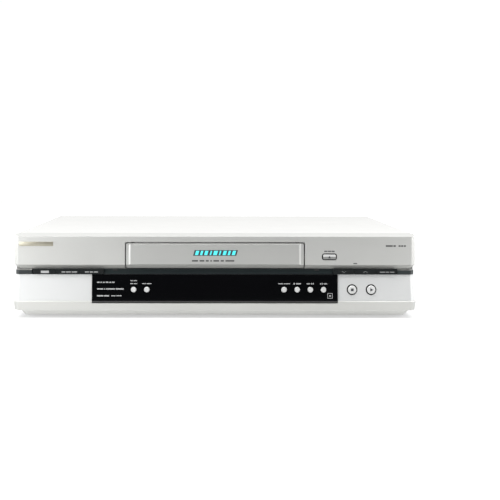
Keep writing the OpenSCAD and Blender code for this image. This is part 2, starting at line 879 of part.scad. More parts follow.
// Round key that stands out at y0 and has a collar wider than its hole behind the wall at y1
module round_key(x, r, gap, y0, y1) translate([x, 0, key_z]) {
    rim = 0.6;
    rod_y(r, y0 + rim, stem_y);
    translate([0, y0, 0]) rotate([-90, 0, 0]) cylinder(r1 = r - rim, r2 = r, h = rim);
    rod_y(r + gap + collar, y1 + collar_gap, y1 + collar_gap + collar_t);
}

window_rear = panel_y + lower_inset(key_z + small_r + fit + collar) + window_back + window_flange_t;
panel_rear = panel_y + lower_inset(key_z + large_r + large_gap + collar) + wall;
small_front = panel_y - lip_out + 0.1;
large_front = panel_y - 0.4;

module small_key(x) color(white) round_key(x, small_r, fit, small_front, window_rear);
module quick_button() small_key(small_left[0]);
module link_button() small_key(small_left[1]);
module check_button() small_key(small_right[0]);
module record_button() small_key(small_right[1]);
module rewind_button() small_key(small_right[2]);
module forward_button() small_key(small_right[3]);
module large_key(x) color(silver) round_key(x, large_r, large_gap, large_front, panel_rear);
module stop_button() large_key(large_keys[0]);
module play_button() large_key(large_keys[1]);

// Button with a front that falls back above its middle
module eject_button() color(silver) translate([eject_x, 0, eject_z]) {
    front = panel_y - 0.7;
    fall = 0.9;
    collar_y = panel_y + wall + collar_gap;
    rim = eject_gap + collar;
    intersection() {
        along_y(front, collar_y + collar_t) soft_rect(eject_w, eject_h, eject_corner);
        along_x(-eject_w, eject_w) polygon([
            [front, -eject_h],
            [front, 0],
            [front + 2 * fall, eject_h],
            [stem_y, eject_h],
            [stem_y, -eject_h]
        ]);
    }
    along_y(collar_y, collar_y + collar_t)
        soft_rect(eject_w + 2 * rim, eject_h + 2 * rim, eject_corner);
    along_y(collar_y, stem_y) square([stem_w, stem_h], center = true);
}

// Front board

module front_board() color(board_green) {
    y1 = front_board_y + board_t;
    low_top = strip_z1 - 2;
    side_top = strip_z1 + 2;
    shoulder = slot_w / 2 + 8;
    span([-front_board_x, front_board_y, front_board_z0], [front_board_x, y1, low_top]);
    span([-front_board_x, front_board_y, front_board_z0], [-shoulder, y1, side_top]);
    span([shoulder, front_board_y, front_board_z0], [front_board_x, y1, eject_z + 6]);
}

switch_places = concat(
    [for (x = concat(left_keys, right_keys)) [x, strip_mid]],
    [for (x = concat(small_left, small_right, large_keys)) [x, key_z]],
    [[eject_x, eject_z]]
);

module key_switches() color(dark) for (p = switch_places) translate([p[0], 0, p[1]]) {
    along_y(front_board_y - switch_h + plunger, front_board_y) square(switch_w, center = true);
    rod_y(plunger_r, front_board_y - switch_h, front_board_y - switch_h + plunger + 0.1);
}

module display_tube() color("teal") {
    y0 = panel_y + lower_inset(strip_z0) + window_back + window_flange_t + 1.2;
    translate([0, 0, key_z]) {
        span([-tube_w / 2, y0, -tube_h / 2], [tube_w / 2, front_board_y - 1, tube_h / 2]);
        span([-tube_w / 2 + 4, y0 + 1, -tube_h / 2 + 2], [tube_w / 2 - 4, front_board_y, tube_h / 2 - 2]);
    }
}

// Feet and screws

feet_y = [panel_y + foot_in, rear_y - foot_in];
feet_at = [for (sx = [-1, 1], y = feet_y) [sx * (side_x - foot_in), y]];

module feet() color(dark) for (p = feet_at)
    translate([p[0], p[1], 0]) cylinder(r1 = foot_r - 1, r2 = foot_r, h = foot_h);

module screws() color(zinc) {
    shank = 8;
    for (p = deck_posts) translate(p) {
        rod_z(screw_head_r, deck_z1, deck_z1 + screw_head_h);
        rod_z(screw_r, pan_z1 + 2, deck_z1 + screw_head_h / 2);
    }
    both_sides() for (y = side_screws_y) translate([0, y, side_screw_z]) {
        rod_x(screw_head_r, side_x, side_x + side_head_h);
        rod_x(screw_r, side_x - shank, side_x + side_head_h / 2);
    }
    for (x = rear_screws_x) translate([x, rear_y + cover_t, rear_screw_z]) {
        rod_y(screw_head_r, 0, screw_head_h);
        rod_y(screw_r, -shank, screw_head_h / 2);
    }
}

// Electronics

module power_board() color(board_green)
    span([-board_x1, lift_y0 + power_board_back, board_z0], [-board_x0, board_y1, board_z1]);

power_board_back = 40;

// Transformer, capacitors, cooling fins and chips on the two rear boards
module board_parts() color("dimgray") {
    core = [46, 38, 30];
    coil = 6;
    core_back = 160;
    core_at = [-(board_x0 + board_w / 2), lift_y0 + core_back, board_z1];
    translate(core_at) {
        span([-core[0] / 2, -core[1] / 2, 0], [core[0] / 2, core[1] / 2, core[2]]);
        span([-core[0] / 2 - coil, coil - core[1] / 2, coil],
            [core[0] / 2 + coil, core[1] / 2 - coil, core[2] - coil]);
    }
    for (i = [0:2]) translate([-board_x0 - 20 - 24 * i, lift_y0 + 70, 0])
        rod_z(9 - i, board_z1, board_z1 + 30 - 4 * i);
    translate([-board_x0 - 14, lift_y0 + 96, board_z1]) {
        span([-2, 0, 0], [0, 40, 34]);
        for (i = [0:5]) span([-12, 2 + 6.4 * i, 4], [-1, 4 + 6.4 * i, 34]);
    }
    chips = [[40, 40, 28], [70, 90, 22], [35, 110, 18], [68, 150, 24]];
    chip_h = 3;
    for (c = chips) translate([board_x0 + c[0] - c[2] / 2, lift_y0 + c[1] - c[2] / 2, board_z1])
        cube([c[2], c[2], chip_h]);
}

module mains_inlet() color(dark) translate([inlet_at[0], rear_y, inlet_at[1]]) {
    depth = 12;
    pin = 8;
    pin_r = 1.2;
    rim = 1;
    difference() {
        union() {
            along_y(-inlet_d, rim / 2) square([inlet_w, inlet_h], center = true);
            along_y(0, rim) square([inlet_w + 4, inlet_h + 4], center = true);
            span([-inlet_w / 2, -inlet_d, board_z1 - inlet_at[1]], [inlet_w / 2, -rear_t - 1, 0]);
        }
        along_y(rim - depth, rim + 1) soft_rect(inlet_pin_pitch + 9, 9, 4.4);
    }
    for (sx = [-1, 1]) translate([sx * inlet_pin_pitch / 2, 0, 0])
        rod_y(pin_r, rim - depth - 1, rim - depth + pin);
}

module main_board() color(board_green) {
    span([board_x0, lift_y0 + 8, board_z0], [board_x1, board_y1, board_z1]);
    span([tuner_x - tuner_w / 2 - 4, board_y1 - socket_strip, board_z0], [board_x0 + 1, board_y1, board_z1]);
}

module scart_sockets() color(dark) for (x = scart_x) translate([x, rear_y, scart_z]) difference() {
    cut = 4;
    mouth_w = scart_w - 4;
    mouth_h = scart_h - 4;
    along_y(-scart_d, scart_lip) square([scart_w, scart_h], center = true);
    along_y(scart_lip - 10, scart_lip + 1) polygon([
        [-mouth_w / 2, mouth_h / 2],
        [-mouth_w / 2, cut - mouth_h / 2],
        [cut - mouth_w / 2, -mouth_h / 2],
        [mouth_w / 2, -mouth_h / 2],
        [mouth_w / 2, mouth_h / 2]
    ]);
}

module audio_jacks() color("gold") for (x = jack_x) translate([x, rear_y, jack_z]) difference() {
    union() {
        rod_y(jack_r, -2, socket_out);
        rod_y(jack_r + 1, -rear_t - 1, 1);
        span([-6, -rear_t - 9, board_z1 - jack_z], [6, -rear_t - 0.5, 6]);
    }
    rod_y(jack_bore_r, 0, far);
}

module tuner_can() color(zinc)
    span([tuner_x - tuner_w / 2, board_y1 - tuner_d, board_z1],
        [tuner_x + tuner_w / 2, board_y1, board_z1 + tuner_h]);

// Aerial socket on the left and aerial outlet on the right, on the tuner's wall
module aerial_sockets() color(zinc) {
    flange = board_y1 - rear_y;
    hole = 8;
    for (i = [0, 1]) translate([aerial_x[i], rear_y, aerial_z]) difference() {
        union() {
            rod_y(aerial_r, flange, i == 0 ? socket_out : 1);
            if (i == 1) rod_y(aerial_plug_r, 0, socket_out);
        }
        rod_y(i == 0 ? aerial_bore_r : aerial_plug_r - 0.7, socket_out - hole, far);
    }
    translate([aerial_x[1], rear_y, aerial_z]) rod_y(1.2, socket_out - hole - 1, socket_out - 1);
}

// Mechanism

module mechanism_deck() color(zinc) difference() {
    union() {
        span([-deck_x, deck_y0, deck_z0], [deck_x, deck_y1, deck_z1]);
        for (x = reels) translate([x, reel_y]) rod_z(spindle_r, deck_z0, deck_z1 + reel_seat + 10);
        translate(pinch_pivot) rod_z(pivot_r, deck_z0, deck_z1 + 18);
        translate(tension_at) rod_z(pivot_r, deck_z0, deck_z1 + 12);
        translate(cam_at) rod_z(pivot_r, cam_z0 - 1, deck_z1);
    }
    for (p = deck_posts) translate(p) rod_z(screw_r + screw_gap, -far, far);
    both_sides() translate([guide_rest[0], guide_rest[1], deck_z0 - 1]) rotate([0, 0, guide_angle])
        linear_extrude(deck_t + 2) slot_2d(guide_travel, guide_tail_r + guide_slot_gap);
    translate(capstan_at) rod_z(capstan_sleeve_r, -far, far);
    translate([0, clutch_y]) rod_z(pivot_r + run_gap, -far, far);
    translate(motor_at) rod_z(motor_shaft_r + 1, -far, far);
}

// Place of the leaning drum, on the deck
module drum_place() translate([0, drum_y, deck_z1 + 6]) rotate([-drum_lean, 0, 0]) children();

drum_half = 14;
drum_split = 0.4;
drum_shaft_r = 3;

// Fixed half of the drum on its leaning base
module lower_drum() color("gainsboro") difference() {
    union() {
        difference() {
            translate([0, drum_y]) rod_z(drum_r + 2, deck_z1, deck_z1 + 12);
            drum_place() translate([0, 0, far / 2]) cube(far, center = true);
        }
        drum_place() rod_z(drum_r, -1, drum_half);
    }
    drum_place() rod_z(drum_shaft_r + run_gap, 2, far);
}

module upper_drum() color("gainsboro") drum_place() {
    z0 = drum_half + drum_split;
    notch = 3;
    difference() {
        rod_z(drum_r, z0, z0 + drum_half);
        rotate_extrude() translate([drum_shaft_r + 6, z0 + 4])
            square([drum_r - drum_shaft_r - 12, drum_half]);
        for (a = [0, 180]) rotate([0, 0, a])
            translate([drum_r, 0, z0]) cube(notch, center = true);
    }
    rod_z(drum_shaft_r, 3, z0 + 1);
    rod_z(drum_r - 8, z0 + drum_half - 1, z0 + drum_half + 3);
    for (a = [0, 180]) rotate([0, 0, a])
        span([drum_r - notch, -0.5, z0 + 0.3], [drum_r - 0.05, 0.5, z0 + 0.7]);
}

module capstan_rotor() color(zinc) translate(capstan_at) {
    rod_z(rotor_r, rotor_z0, rotor_z1);
    rod_z(capstan_pulley_r, belt_z0, rotor_z0);
    rod_z(capstan_r, belt_z0, tape_z - 2);
}

// Stator board of the capstan motor with the bearing sleeve
module capstan_housing() color(zinc) translate(capstan_at) difference() {
    union() {
        rod_z(capstan_sleeve_r - run_gap, rotor_z1 + 1, deck_z1 + 2.4);
        rod_z(rotor_r - 2, rotor_z1 + 0.6, rotor_z1 + 1.6);
        rod_z(capstan_sleeve_r + 3, rotor_z1 + 1, deck_z0);
    }
    rod_z(capstan_r + run_gap, -far, far);
}

module pinch_arm() color(zinc) translate([pinch_pivot[0], pinch_pivot[1], deck_z1]) difference() {
    union() {
        rod_z(pivot_r + 2, 0.3, 16);
        rotate([0, 0, pinch_rest]) {
            translate([0, 0, 3]) linear_extrude(3) slot_2d(pinch_len, 3.2);
            translate([pinch_len, 0]) rod_z(pinch_shaft_r, 3, 24);
        }
    }
    rod_z(pivot_r + run_gap, -1, far);
}

module pinch_roller() color(dark) translate([pinch_at[0], pinch_at[1], deck_z1]) difference() {
    rod_z(pinch_r, 6.3, 23);
    rod_z(pinch_shaft_r + run_gap, 0, far);
}

// Guide at rest in the mouth of the cassette; side is -1 for supply and 1 for take-up
module guide(side) color(zinc) translate([side * guide_rest[0], guide_rest[1], 0]) {
    rod_z(guide_foot_r, deck_z1 + 0.2, deck_z1 + 5);
    rod_z(guide_tail_r, deck_z0 - 2, deck_z1 + 1);
    translate([0, 1.5, 0]) rod_z(3, deck_z1 + 4, guide_post_z - 3);
    translate([0, 1.5, 0]) rod_z(4, guide_post_z - 3.5, guide_post_z);
    translate([side * -3, -3.5, deck_z1 + 4]) rotate([0, side * 12, 0]) cylinder(r = 1.2, h = 18);
}

module supply_guide() guide(-1);
module takeup_guide() guide(1);

module reel(x) color(dark) translate([x, reel_y, deck_z1]) difference() {
    union() {
        rod_z(reel_r, 0.4, 4.4);
        rod_z(10, 4, reel_seat);
        rod_z(4, reel_seat - 1, reel_seat + 12);
        for (a = [0, 120, 240]) rotate([0, 0, a])
            span([0, -0.8, reel_seat - 1], [6, 0.8, reel_seat + 8]);
    }
    rod_z(spindle_r + run_gap, -1, reel_seat + 10.5);
}

module supply_reel() reel(reels[0]);
module takeup_reel() reel(reels[1]);

module clutch_wheel() color(dark) translate([0, clutch_y, 0]) {
    rod_z(clutch_r, deck_z1 + 0.4, deck_z1 + 4.4);
    rod_z(pivot_r, belt_z0, deck_z1 + 12);
    rod_z(clutch_pulley_r, belt_z0, belt_z0 + belt_h);
}

module idler_arm() color(zinc) translate([0, clutch_y, deck_z1]) difference() {
    union() {
        translate([0, 0, 5]) rotate([0, 0, -90]) linear_extrude(1.6) slot_2d(idler_arm_len, 5);
        rod_z(5, 4.7, 9);
        translate([0, -idler_arm_len]) rod_z(pivot_r, 0.4, 6);
    }
    rod_z(pivot_r + run_gap, -1, far);
}

module idler_wheel() color(dark) translate([0, idler_y, deck_z1]) difference() {
    rod_z(idler_r, 0.4, 4.4);
    rod_z(pivot_r + run_gap, -1, far);
}

// Points of a loop round two pulleys: an arc about each, joined by straight runs
function loop_points(a, ra, b, rb) =
    let (
        along = b - a,
        heading = atan2(along[1], along[0]),
        open = acos((ra - rb) / norm(along)),
        steps = 24,
        far_arc = [for (i = [0:steps]) heading + open + i * (360 - 2 * open) / steps],
        near_arc = [for (i = [0:steps]) heading - open + i * 2 * open / steps]
    )
    concat(
        [for (t = far_arc) a + ra * [cos(t), sin(t)]],
        [for (t = near_arc) b + rb * [cos(t), sin(t)]]
    );

module drive_belt() color("dimgray") translate([0, 0, belt_z0 + 0.2]) linear_extrude(belt_h - 0.4) {
    centre = [0, clutch_y];
    clutch_in = clutch_pulley_r + belt_gap;
    capstan_in = capstan_pulley_r + belt_gap;
    difference() {
        polygon(loop_points(centre, clutch_in + belt_t, capstan_at, capstan_in + belt_t));
        polygon(loop_points(centre, clutch_in, capstan_at, capstan_in));
    }
}

module tape_heads() color("gray") {
    head = [9, 9, 18];
    for (p = [erase_at, audio_at]) translate([p[0], p[1], deck_z1]) {
        rod_z(3, 0, 7);
        translate([-head[0] / 2, -head[1] / 2, 6]) cube(head);
    }
}

module tension_arm() color(zinc) translate([tension_at[0], tension_at[1], deck_z1]) difference() {
    reach = norm(tension_pole);
    union() {
        rod_z(pivot_r + 2, 0.3, 10);
        rotate([0, 0, atan2(tension_pole[1], tension_pole[0])]) {
            translate([0, 0, 4]) linear_extrude(2) slot_2d(reach, 2.6);
            translate([reach, 0]) rod_z(1.5, 4, 28);
        }
    }
    rod_z(pivot_r + run_gap, -1, far);
}

module loading_motor() color("gray") translate([motor_at[0], motor_at[1], 0]) difference() {
    rod_z(motor_r, deck_z1, deck_z1 + motor_h);
    rod_z(motor_shaft_r + run_gap, 0, deck_z1 + motor_bore + 0.5);
}

motor_bore = 12;

module motor_pinion() color("ivory") translate([motor_at[0], motor_at[1], cam_z0]) {
    linear_extrude(cam_h) rotate(180 / motor_teeth) polygon(gear_points(cam_module, motor_teeth));
    rod_z(motor_shaft_r, 0, deck_z1 + motor_bore - cam_z0);
}

module cam_gear() color("ivory") translate([cam_at[0], cam_at[1], cam_z0]) difference() {
    linear_extrude(cam_h) rotate(180) polygon(gear_points(cam_module, cam_teeth));
    rod_z(pivot_r + run_gap, -1, far);
}

// Lift

module lift_frame() color(zinc) {
    y1 = lift_y0 + frame_d;
    slot_r0 = lift_pin_r + lift_slot_gap;
    both_sides() difference() {
        union() {
            span([frame_x, lift_y0, deck_z1], [frame_x + frame_t, y1, frame_z1]);
            span([frame_x, lift_y0 + frame_foot_in, deck_z1],
                [frame_x + frame_foot, y1 - frame_foot_in, deck_z1 + frame_t]);
        }
        translate([0, sled_pins_y[0], sled_pin_z]) along_x(frame_x - 1, frame_x + frame_t + 1)
            slot_2d(sled_pins_y[1] - sled_pins_y[0] + load_travel, slot_r0);
    }
    span([-frame_x - frame_t, lift_y0 + 4, frame_z1 - 1], [frame_x + frame_t, lift_y0 + 20, frame_z1]);
    translate([0, pinion_y, pinion_z]) rod_x(pinion_shaft_r, frame_x + frame_t / 2, rack_x + rack_t + 2);
}

module lift_sled() color(pale) {
    pin_end = rack_x + rack_t / 2;
    both_sides() difference() {
        union() {
            span([sled_x, sled_y0, sled_z0], [sled_x + sled_t, sled_y0 + sled_d, sled_top]);
            for (y = sled_pins_y)
                translate([0, y, sled_pin_z]) rod_x(lift_pin_r, sled_x + sled_t / 2, pin_end);
        }
        for (y = holder_pins_y) translate([0, y, holder_pin_z]) along_x(sled_x - 1, sled_x + sled_t + 1)
            rotate(-90) slot_2d(load_drop, lift_pin_r + lift_slot_gap);
    }
    span([-sled_x - sled_t, sled_y0 + sled_d - sled_bridge, sled_top - sled_t],
        [sled_x + sled_t, sled_y0 + sled_d, sled_top]);
    along_x(rack_x, rack_x + rack_t) rack_2d();
}

// Side view of the rack with its teeth below
module rack_2d() {
    pitch = PI * lift_module;
    lean = tan(20);
    half = (pitch / 2 - backlash / 2) / 2;
    root = half + 1.25 * lift_module * lean;
    tip = half - lift_module * lean;
    first = ceil((sled_y0 - pinion_y) / pitch);
    count = floor(rack_len / pitch) - 1;
    tip_z = rack_pitch_z - lift_module;
    translate([sled_y0, rack_root_z]) square([rack_len, rack_back]);
    for (i = [0:count - 1]) {
        y = pinion_y + (first + i + 0.5) * pitch;
        polygon([
            [y - root, rack_root_z + 0.1],
            [y - root, rack_root_z],
            [y - tip, tip_z],
            [y + tip, tip_z],
            [y + root, rack_root_z],
            [y + root, rack_root_z + 0.1]
        ]);
    }
}

module lift_pinion() color("ivory") translate([0, pinion_y, pinion_z]) difference() {
    union() {
        along_x(rack_x - 0.2, rack_x + rack_t) rotate(90) polygon(gear_points(lift_module, lift_teeth));
        rod_x(pinion_shaft_r + 2, rack_x - 0.4, rack_x + rack_t + 1);
    }
    rod_x(pinion_shaft_r + run_gap, frame_x, far);
}

module cassette_holder() color(zinc) {
    floor_z = tape_z - holder_ledge_gap;
    inner = holder_x - holder_t;
    span([-holder_x, holder_y0, holder_z1 - holder_t], [holder_x, holder_y1, holder_z1]);
    both_sides() {
        span([inner, holder_y0, floor_z - holder_t], [holder_x, holder_y1, holder_z1]);
        span([inner - holder_ledge, holder_y0, floor_z - holder_t], [holder_x, holder_y1, floor_z]);
        span([inner - holder_stop_w, holder_y1 - holder_t, holder_z1 - holder_stop_h],
            [holder_x, holder_y1, holder_z1]);
        for (y = holder_pins_y)
            translate([0, y, holder_pin_z]) rod_x(lift_pin_r, inner + holder_t / 2, sled_x + sled_t);
    }
}

chassis_pan();
top_cover();
rear_panel();
front_bezel();
trim_strip();
display_window();
cassette_flap();
flap_spring();
eject_button();
power_key();
menu_key();
page_key();
channel_down_key();
channel_up_key();
timer_key();
quick_button();
link_button();
check_button();
record_button();
rewind_button();
forward_button();
stop_button();
play_button();
front_board();
key_switches();
display_tube();
feet();
screws();
power_board();
main_board();
board_parts();
mains_inlet();
scart_sockets();
audio_jacks();
tuner_can();
aerial_sockets();
mechanism_deck();
lower_drum();
upper_drum();
capstan_rotor();
capstan_housing();
pinch_arm();
pinch_roller();
supply_guide();
takeup_guide();
supply_reel();
takeup_reel();
idler_arm();
idler_wheel();
clutch_wheel();
drive_belt();
tension_arm();
tape_heads();
loading_motor();
motor_pinion();
cam_gear();
lift_frame();
lift_sled();
lift_pinion();
cassette_holder();
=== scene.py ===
import json
import math

import bmesh
import bpy
from mathutils import Matrix, Vector

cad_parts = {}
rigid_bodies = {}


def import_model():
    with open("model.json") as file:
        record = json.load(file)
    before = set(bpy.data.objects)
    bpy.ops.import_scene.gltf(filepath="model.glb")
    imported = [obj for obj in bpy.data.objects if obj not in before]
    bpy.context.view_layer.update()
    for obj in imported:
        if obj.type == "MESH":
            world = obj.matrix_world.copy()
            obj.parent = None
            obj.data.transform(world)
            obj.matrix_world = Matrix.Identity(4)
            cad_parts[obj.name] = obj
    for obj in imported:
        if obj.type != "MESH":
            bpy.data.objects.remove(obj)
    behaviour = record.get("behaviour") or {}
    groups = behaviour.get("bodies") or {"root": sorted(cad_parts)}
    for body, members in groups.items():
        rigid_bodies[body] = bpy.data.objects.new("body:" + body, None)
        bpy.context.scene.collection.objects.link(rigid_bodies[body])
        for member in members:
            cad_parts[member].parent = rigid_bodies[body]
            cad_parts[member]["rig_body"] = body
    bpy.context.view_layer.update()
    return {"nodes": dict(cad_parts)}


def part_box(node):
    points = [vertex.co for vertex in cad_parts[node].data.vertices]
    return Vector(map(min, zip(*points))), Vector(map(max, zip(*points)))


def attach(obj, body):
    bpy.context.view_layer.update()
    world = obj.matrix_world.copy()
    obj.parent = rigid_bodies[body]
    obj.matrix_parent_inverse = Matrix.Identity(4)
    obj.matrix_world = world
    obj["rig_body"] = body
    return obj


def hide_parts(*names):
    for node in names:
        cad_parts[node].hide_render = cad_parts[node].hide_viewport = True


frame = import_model()
nodes = frame["nodes"]
scene = bpy.context.scene
MM = 0.001
# Points this close are one; faces this near to flat are joined; edges past this angle are rounded
MERGE = 1e-6
FLAT = math.radians(0.6)
SHARP_EDGE = math.radians(28)
# Degrees between faces up to which the shading runs on smoothly
SMOOTH_BELOW = 35


# Finishes

COAT_ROUGHNESS = 0.06
SHADE_ENDS = (0.3, 0.7)
LEAST_ROUGHNESS = 0.02


def plain_finish(name, colour, roughness, metallic=0.0, coat=0.0, specular=0.5):
    """A new material with its constant values set on the shader itself."""
    material = bpy.data.materials.new(name)
    material.use_nodes = True
    shader = material.node_tree.nodes["Principled BSDF"]
    shader.inputs["Base Color"].default_value = (*colour, 1)
    shader.inputs["Roughness"].default_value = roughness
    shader.inputs["Metallic"].default_value = metallic
    shader.inputs["Coat Weight"].default_value = coat
    shader.inputs["Coat Roughness"].default_value = COAT_ROUGHNESS
    shader.inputs["Specular IOR Level"].default_value = specular
    return material, shader


def noise_field(material, scale, detail=3.0, stretch=(1, 1, 1)):
    """Noise on the piece's own coordinates; scale is in waves per metre."""
    tree = material.node_tree
    place = tree.nodes.new("ShaderNodeTexCoord")
    mapping = tree.nodes.new("ShaderNodeMapping")
    mapping.inputs["Scale"].default_value = stretch
    noise = tree.nodes.new("ShaderNodeTexNoise")
    noise.inputs["Scale"].default_value = scale
    noise.inputs["Detail"].default_value = detail
    tree.links.new(place.outputs["Object"], mapping.inputs["Vector"])
    tree.links.new(mapping.outputs["Vector"], noise.inputs["Vector"])
    return noise


def vary_colour(material, shader, colour, spread, noise):
    """Lets the colour drift between a darker and a lighter shade."""
    tree = material.node_tree
    ramp = tree.nodes.new("ShaderNodeValToRGB")
    for end, place, shade in zip(ramp.color_ramp.elements, SHADE_ENDS, (1 - spread, 1 + spread)):
        end.position = place
        end.color = (*[min(1, c * shade) for c in colour], 1)
    tree.links.new(noise.outputs["Fac"], ramp.inputs["Fac"])
    tree.links.new(ramp.outputs["Color"], shader.inputs["Base Color"])


def vary_roughness(material, shader, low, high, noise):
    """Lets the gloss drift between two values."""
    tree = material.node_tree
    span = tree.nodes.new("ShaderNodeMapRange")
    span.inputs["To Min"].default_value = low
    span.inputs["To Max"].default_value = high
    tree.links.new(noise.outputs["Fac"], span.inputs["Value"])
    tree.links.new(span.outputs["Result"], shader.inputs["Roughness"])


def add_grain(material, shader, depth, noise, strength=0.5):
    """Fine relief; depth is in metres."""
    tree = material.node_tree
    bump = tree.nodes.new("ShaderNodeBump")
    bump.inputs["Strength"].default_value = strength
    bump.inputs["Distance"].default_value = depth
    tree.links.new(noise.outputs["Fac"], bump.inputs["Height"])
    tree.links.new(bump.outputs["Normal"], shader.inputs["Normal"])


def surface(name, colour, roughness, metallic=0.0, coat=0.0, specular=0.5,
            spread=0.04, drift=14, grain=1800, depth=0.00002, wear=0.05, stretch=(1, 1, 1)):
    """A finish with a slow drift of colour, a patchy gloss and a fine grain."""
    material, shader = plain_finish(name, colour, roughness, metallic, coat, specular)
    vary_colour(material, shader, colour, spread, noise_field(material, drift, 4.0))
    vary_roughness(material, shader, max(LEAST_ROUGHNESS, roughness - wear), roughness + wear,
                   noise_field(material, drift * 5, 2.0))
    add_grain(material, shader, depth, noise_field(material, grain, 2.0, stretch))
    return material


def silver(name, colour, roughness, metallic, spread=0.02, depth=0.000012):
    """Silver paint or moulding, with a fine and even grain."""
    return surface(name, colour, roughness, metallic=metallic, spread=spread, grain=5200,
                   depth=depth, wear=0.03)


silver_paint = silver("silver_paint", (0.425, 0.428, 0.415), 0.40, 0.50)
# Lighter copy of the silver paint for the lower panel, whose faces lean up towards the top light:
# painted light
lower_silver_painted_light = silver("lower_silver_painted_light", (0.50, 0.507, 0.506), 0.40, 0.30, spread=0.015)
# Darker copy of the silver paint for the flap, for the dimmer middle of the front: painted shade
flap_silver_painted_shade = silver("flap_silver_painted_shade", (0.383, 0.386, 0.374), 0.40, 0.50)
# Lighter copy of the silver paint for the downward faces under the lip, for light thrown up from
# the floor: painted light
base_silver_painted_light = silver("base_silver_painted_light", (0.59, 0.593, 0.573), 0.45, 0.30)
# Lighter, less metallic copy of the silver paint that evens out the lip's front under the lamps:
# painted light
lip_silver_painted_light = silver("lip_silver_painted_light", (0.458, 0.461, 0.443), 0.45, 0.25)
shade_silver = silver("shade_silver", (0.22, 0.222, 0.214), 0.5, 0.5)
# Lighter copy of the silver paint that draws bright lines on the flap's end ramps: painted
# highlight
ridge_silver_painted_highlight = silver("ridge_silver_painted_highlight", (0.54, 0.542, 0.53), 0.42, 0.25)
# Darker copy of the silver paint for the faces that slant down under the upper panel: painted shade
under_silver_painted_shade = silver("under_silver_painted_shade", (0.35, 0.353, 0.338), 0.5, 0.6)
button_silver = silver("button_silver", (0.52, 0.525, 0.52), 0.36, 0.35, depth=0.00001)
cover_paint = surface("cover_paint", (0.368, 0.368, 0.359), 0.38, spread=0.012, drift=8,
                      grain=2600, depth=0.00003, wear=0.04)
black_trim = surface("black_trim", (0.008, 0.0125, 0.0135), 0.32, specular=0.4, spread=0.1,
                     grain=3200, depth=0.00001)
key_black = surface("key_black", (0.005, 0.0065, 0.007), 0.3, specular=0.16, spread=0.1, grain=3200,
                    depth=0.00001)
window_black = surface("window_black", (0.0015, 0.0016, 0.002), 0.06, specular=0.12, spread=0.1,
                       drift=9, grain=160, depth=0.000002, wear=0.015)
white_key = surface("white_key", (0.45, 0.453, 0.45), 0.34, spread=0.01, grain=2600,
                    depth=0.000006)
# Near black for the shade in gaps, slots, recesses and behind keys: painted shade
black_painted_shade = surface("black_painted_shade", (0.012, 0.012, 0.012), 0.7, spread=0.1)
zinc_steel = surface("zinc_steel", (0.50, 0.52, 0.54), 0.36, metallic=0.9, spread=0.07, drift=60,
                     grain=900, depth=0.000015, stretch=(1, 9, 9))
rear_paint = surface("rear_paint", (0.03, 0.03, 0.033), 0.48, spread=0.1, grain=2200, depth=0.00003)
circuit_board = surface("circuit_board", (0.05, 0.2, 0.09), 0.38, spread=0.25, drift=180, grain=700,
                        depth=0.00003)
moulded_black = surface("moulded_black", (0.028, 0.028, 0.03), 0.45, spread=0.1, grain=1700,
                        depth=0.00002)
tube_glass = surface("tube_glass", (0.05, 0.08, 0.08), 0.08, coat=0.5, spread=0.15, drift=40)
soft_rubber = surface("soft_rubber", (0.022, 0.022, 0.022), 0.75, spread=0.12, grain=1300,
                      depth=0.00004)
gilt = surface("gilt", (0.78, 0.58, 0.25), 0.22, metallic=1.0, spread=0.05, drift=90)
turned_metal = surface("turned_metal", (0.78, 0.79, 0.80), 0.22, metallic=1.0, spread=0.03,
                       grain=1500, depth=0.00001, stretch=(1, 1, 14))
pale_moulding = surface("pale_moulding", (0.78, 0.77, 0.72), 0.42, spread=0.03, grain=1500)
print_white = surface("print_white", (0.28, 0.284, 0.284), 0.5, spread=0.02)
print_dark = surface("print_dark", (0.022, 0.022, 0.028), 0.5, spread=0.05)
print_grey = surface("print_grey", (0.05, 0.05, 0.05), 0.5, spread=0.05)
print_teal = surface("print_teal", (0.08, 0.72, 0.76), 0.35, spread=0.05)
badge_metal = surface("badge_metal", (0.30, 0.285, 0.23), 0.34, metallic=0.7, spread=0.05,
                      drift=120)
ring_white = surface("ring_white", (0.8, 0.8, 0.78), 0.4)
ring_red = surface("ring_red", (0.55, 0.03, 0.03), 0.4)
window_edge = surface("window_edge", (0.024, 0.024, 0.024), 0.3, spread=0.1)

node_finish = {
    zinc_steel: ["chassis_pan", "mechanism_deck", "capstan_rotor", "capstan_housing", "pinch_arm",
                 "supply_guide", "takeup_guide", "idler_arm", "tension_arm", "lift_frame",
                 "cassette_holder", "tuner_can", "flap_spring", "loading_motor", "tape_heads"],
    circuit_board: ["front_board", "power_board", "main_board"],
    moulded_black: ["key_switches", "board_parts", "supply_reel", "takeup_reel", "clutch_wheel"],
    tube_glass: ["display_tube"],
    soft_rubber: ["pinch_roller", "idler_wheel", "drive_belt"],
    turned_metal: ["lower_drum", "upper_drum"],
    pale_moulding: ["motor_pinion", "cam_gear", "lift_sled", "lift_pinion"],
}


def paint(piece, *materials):
    """Gives a piece its finishes, in this order."""
    piece.data.materials.clear()
    for material in materials:
        piece.data.materials.append(material)


for material, names in node_finish.items():
    for name in names:
        paint(nodes[name], material)


# Pieces of the casing, from the construction with softened edges

def new_piece(name, bm, body, *materials, smooth=SMOOTH_BELOW):
    """Makes a mesh of bm, with its place in its vertices, and lets it ride on a body."""
    mesh = bpy.data.meshes.new(name)
    bm.to_mesh(mesh)
    bm.free()
    piece = bpy.data.objects.new(name, mesh)
    scene.collection.objects.link(piece)
    paint(piece, *materials)
    if smooth:
        mesh.shade_smooth()
        mesh.set_sharp_from_angle(angle=math.radians(smooth))
    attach(piece, body)
    return piece


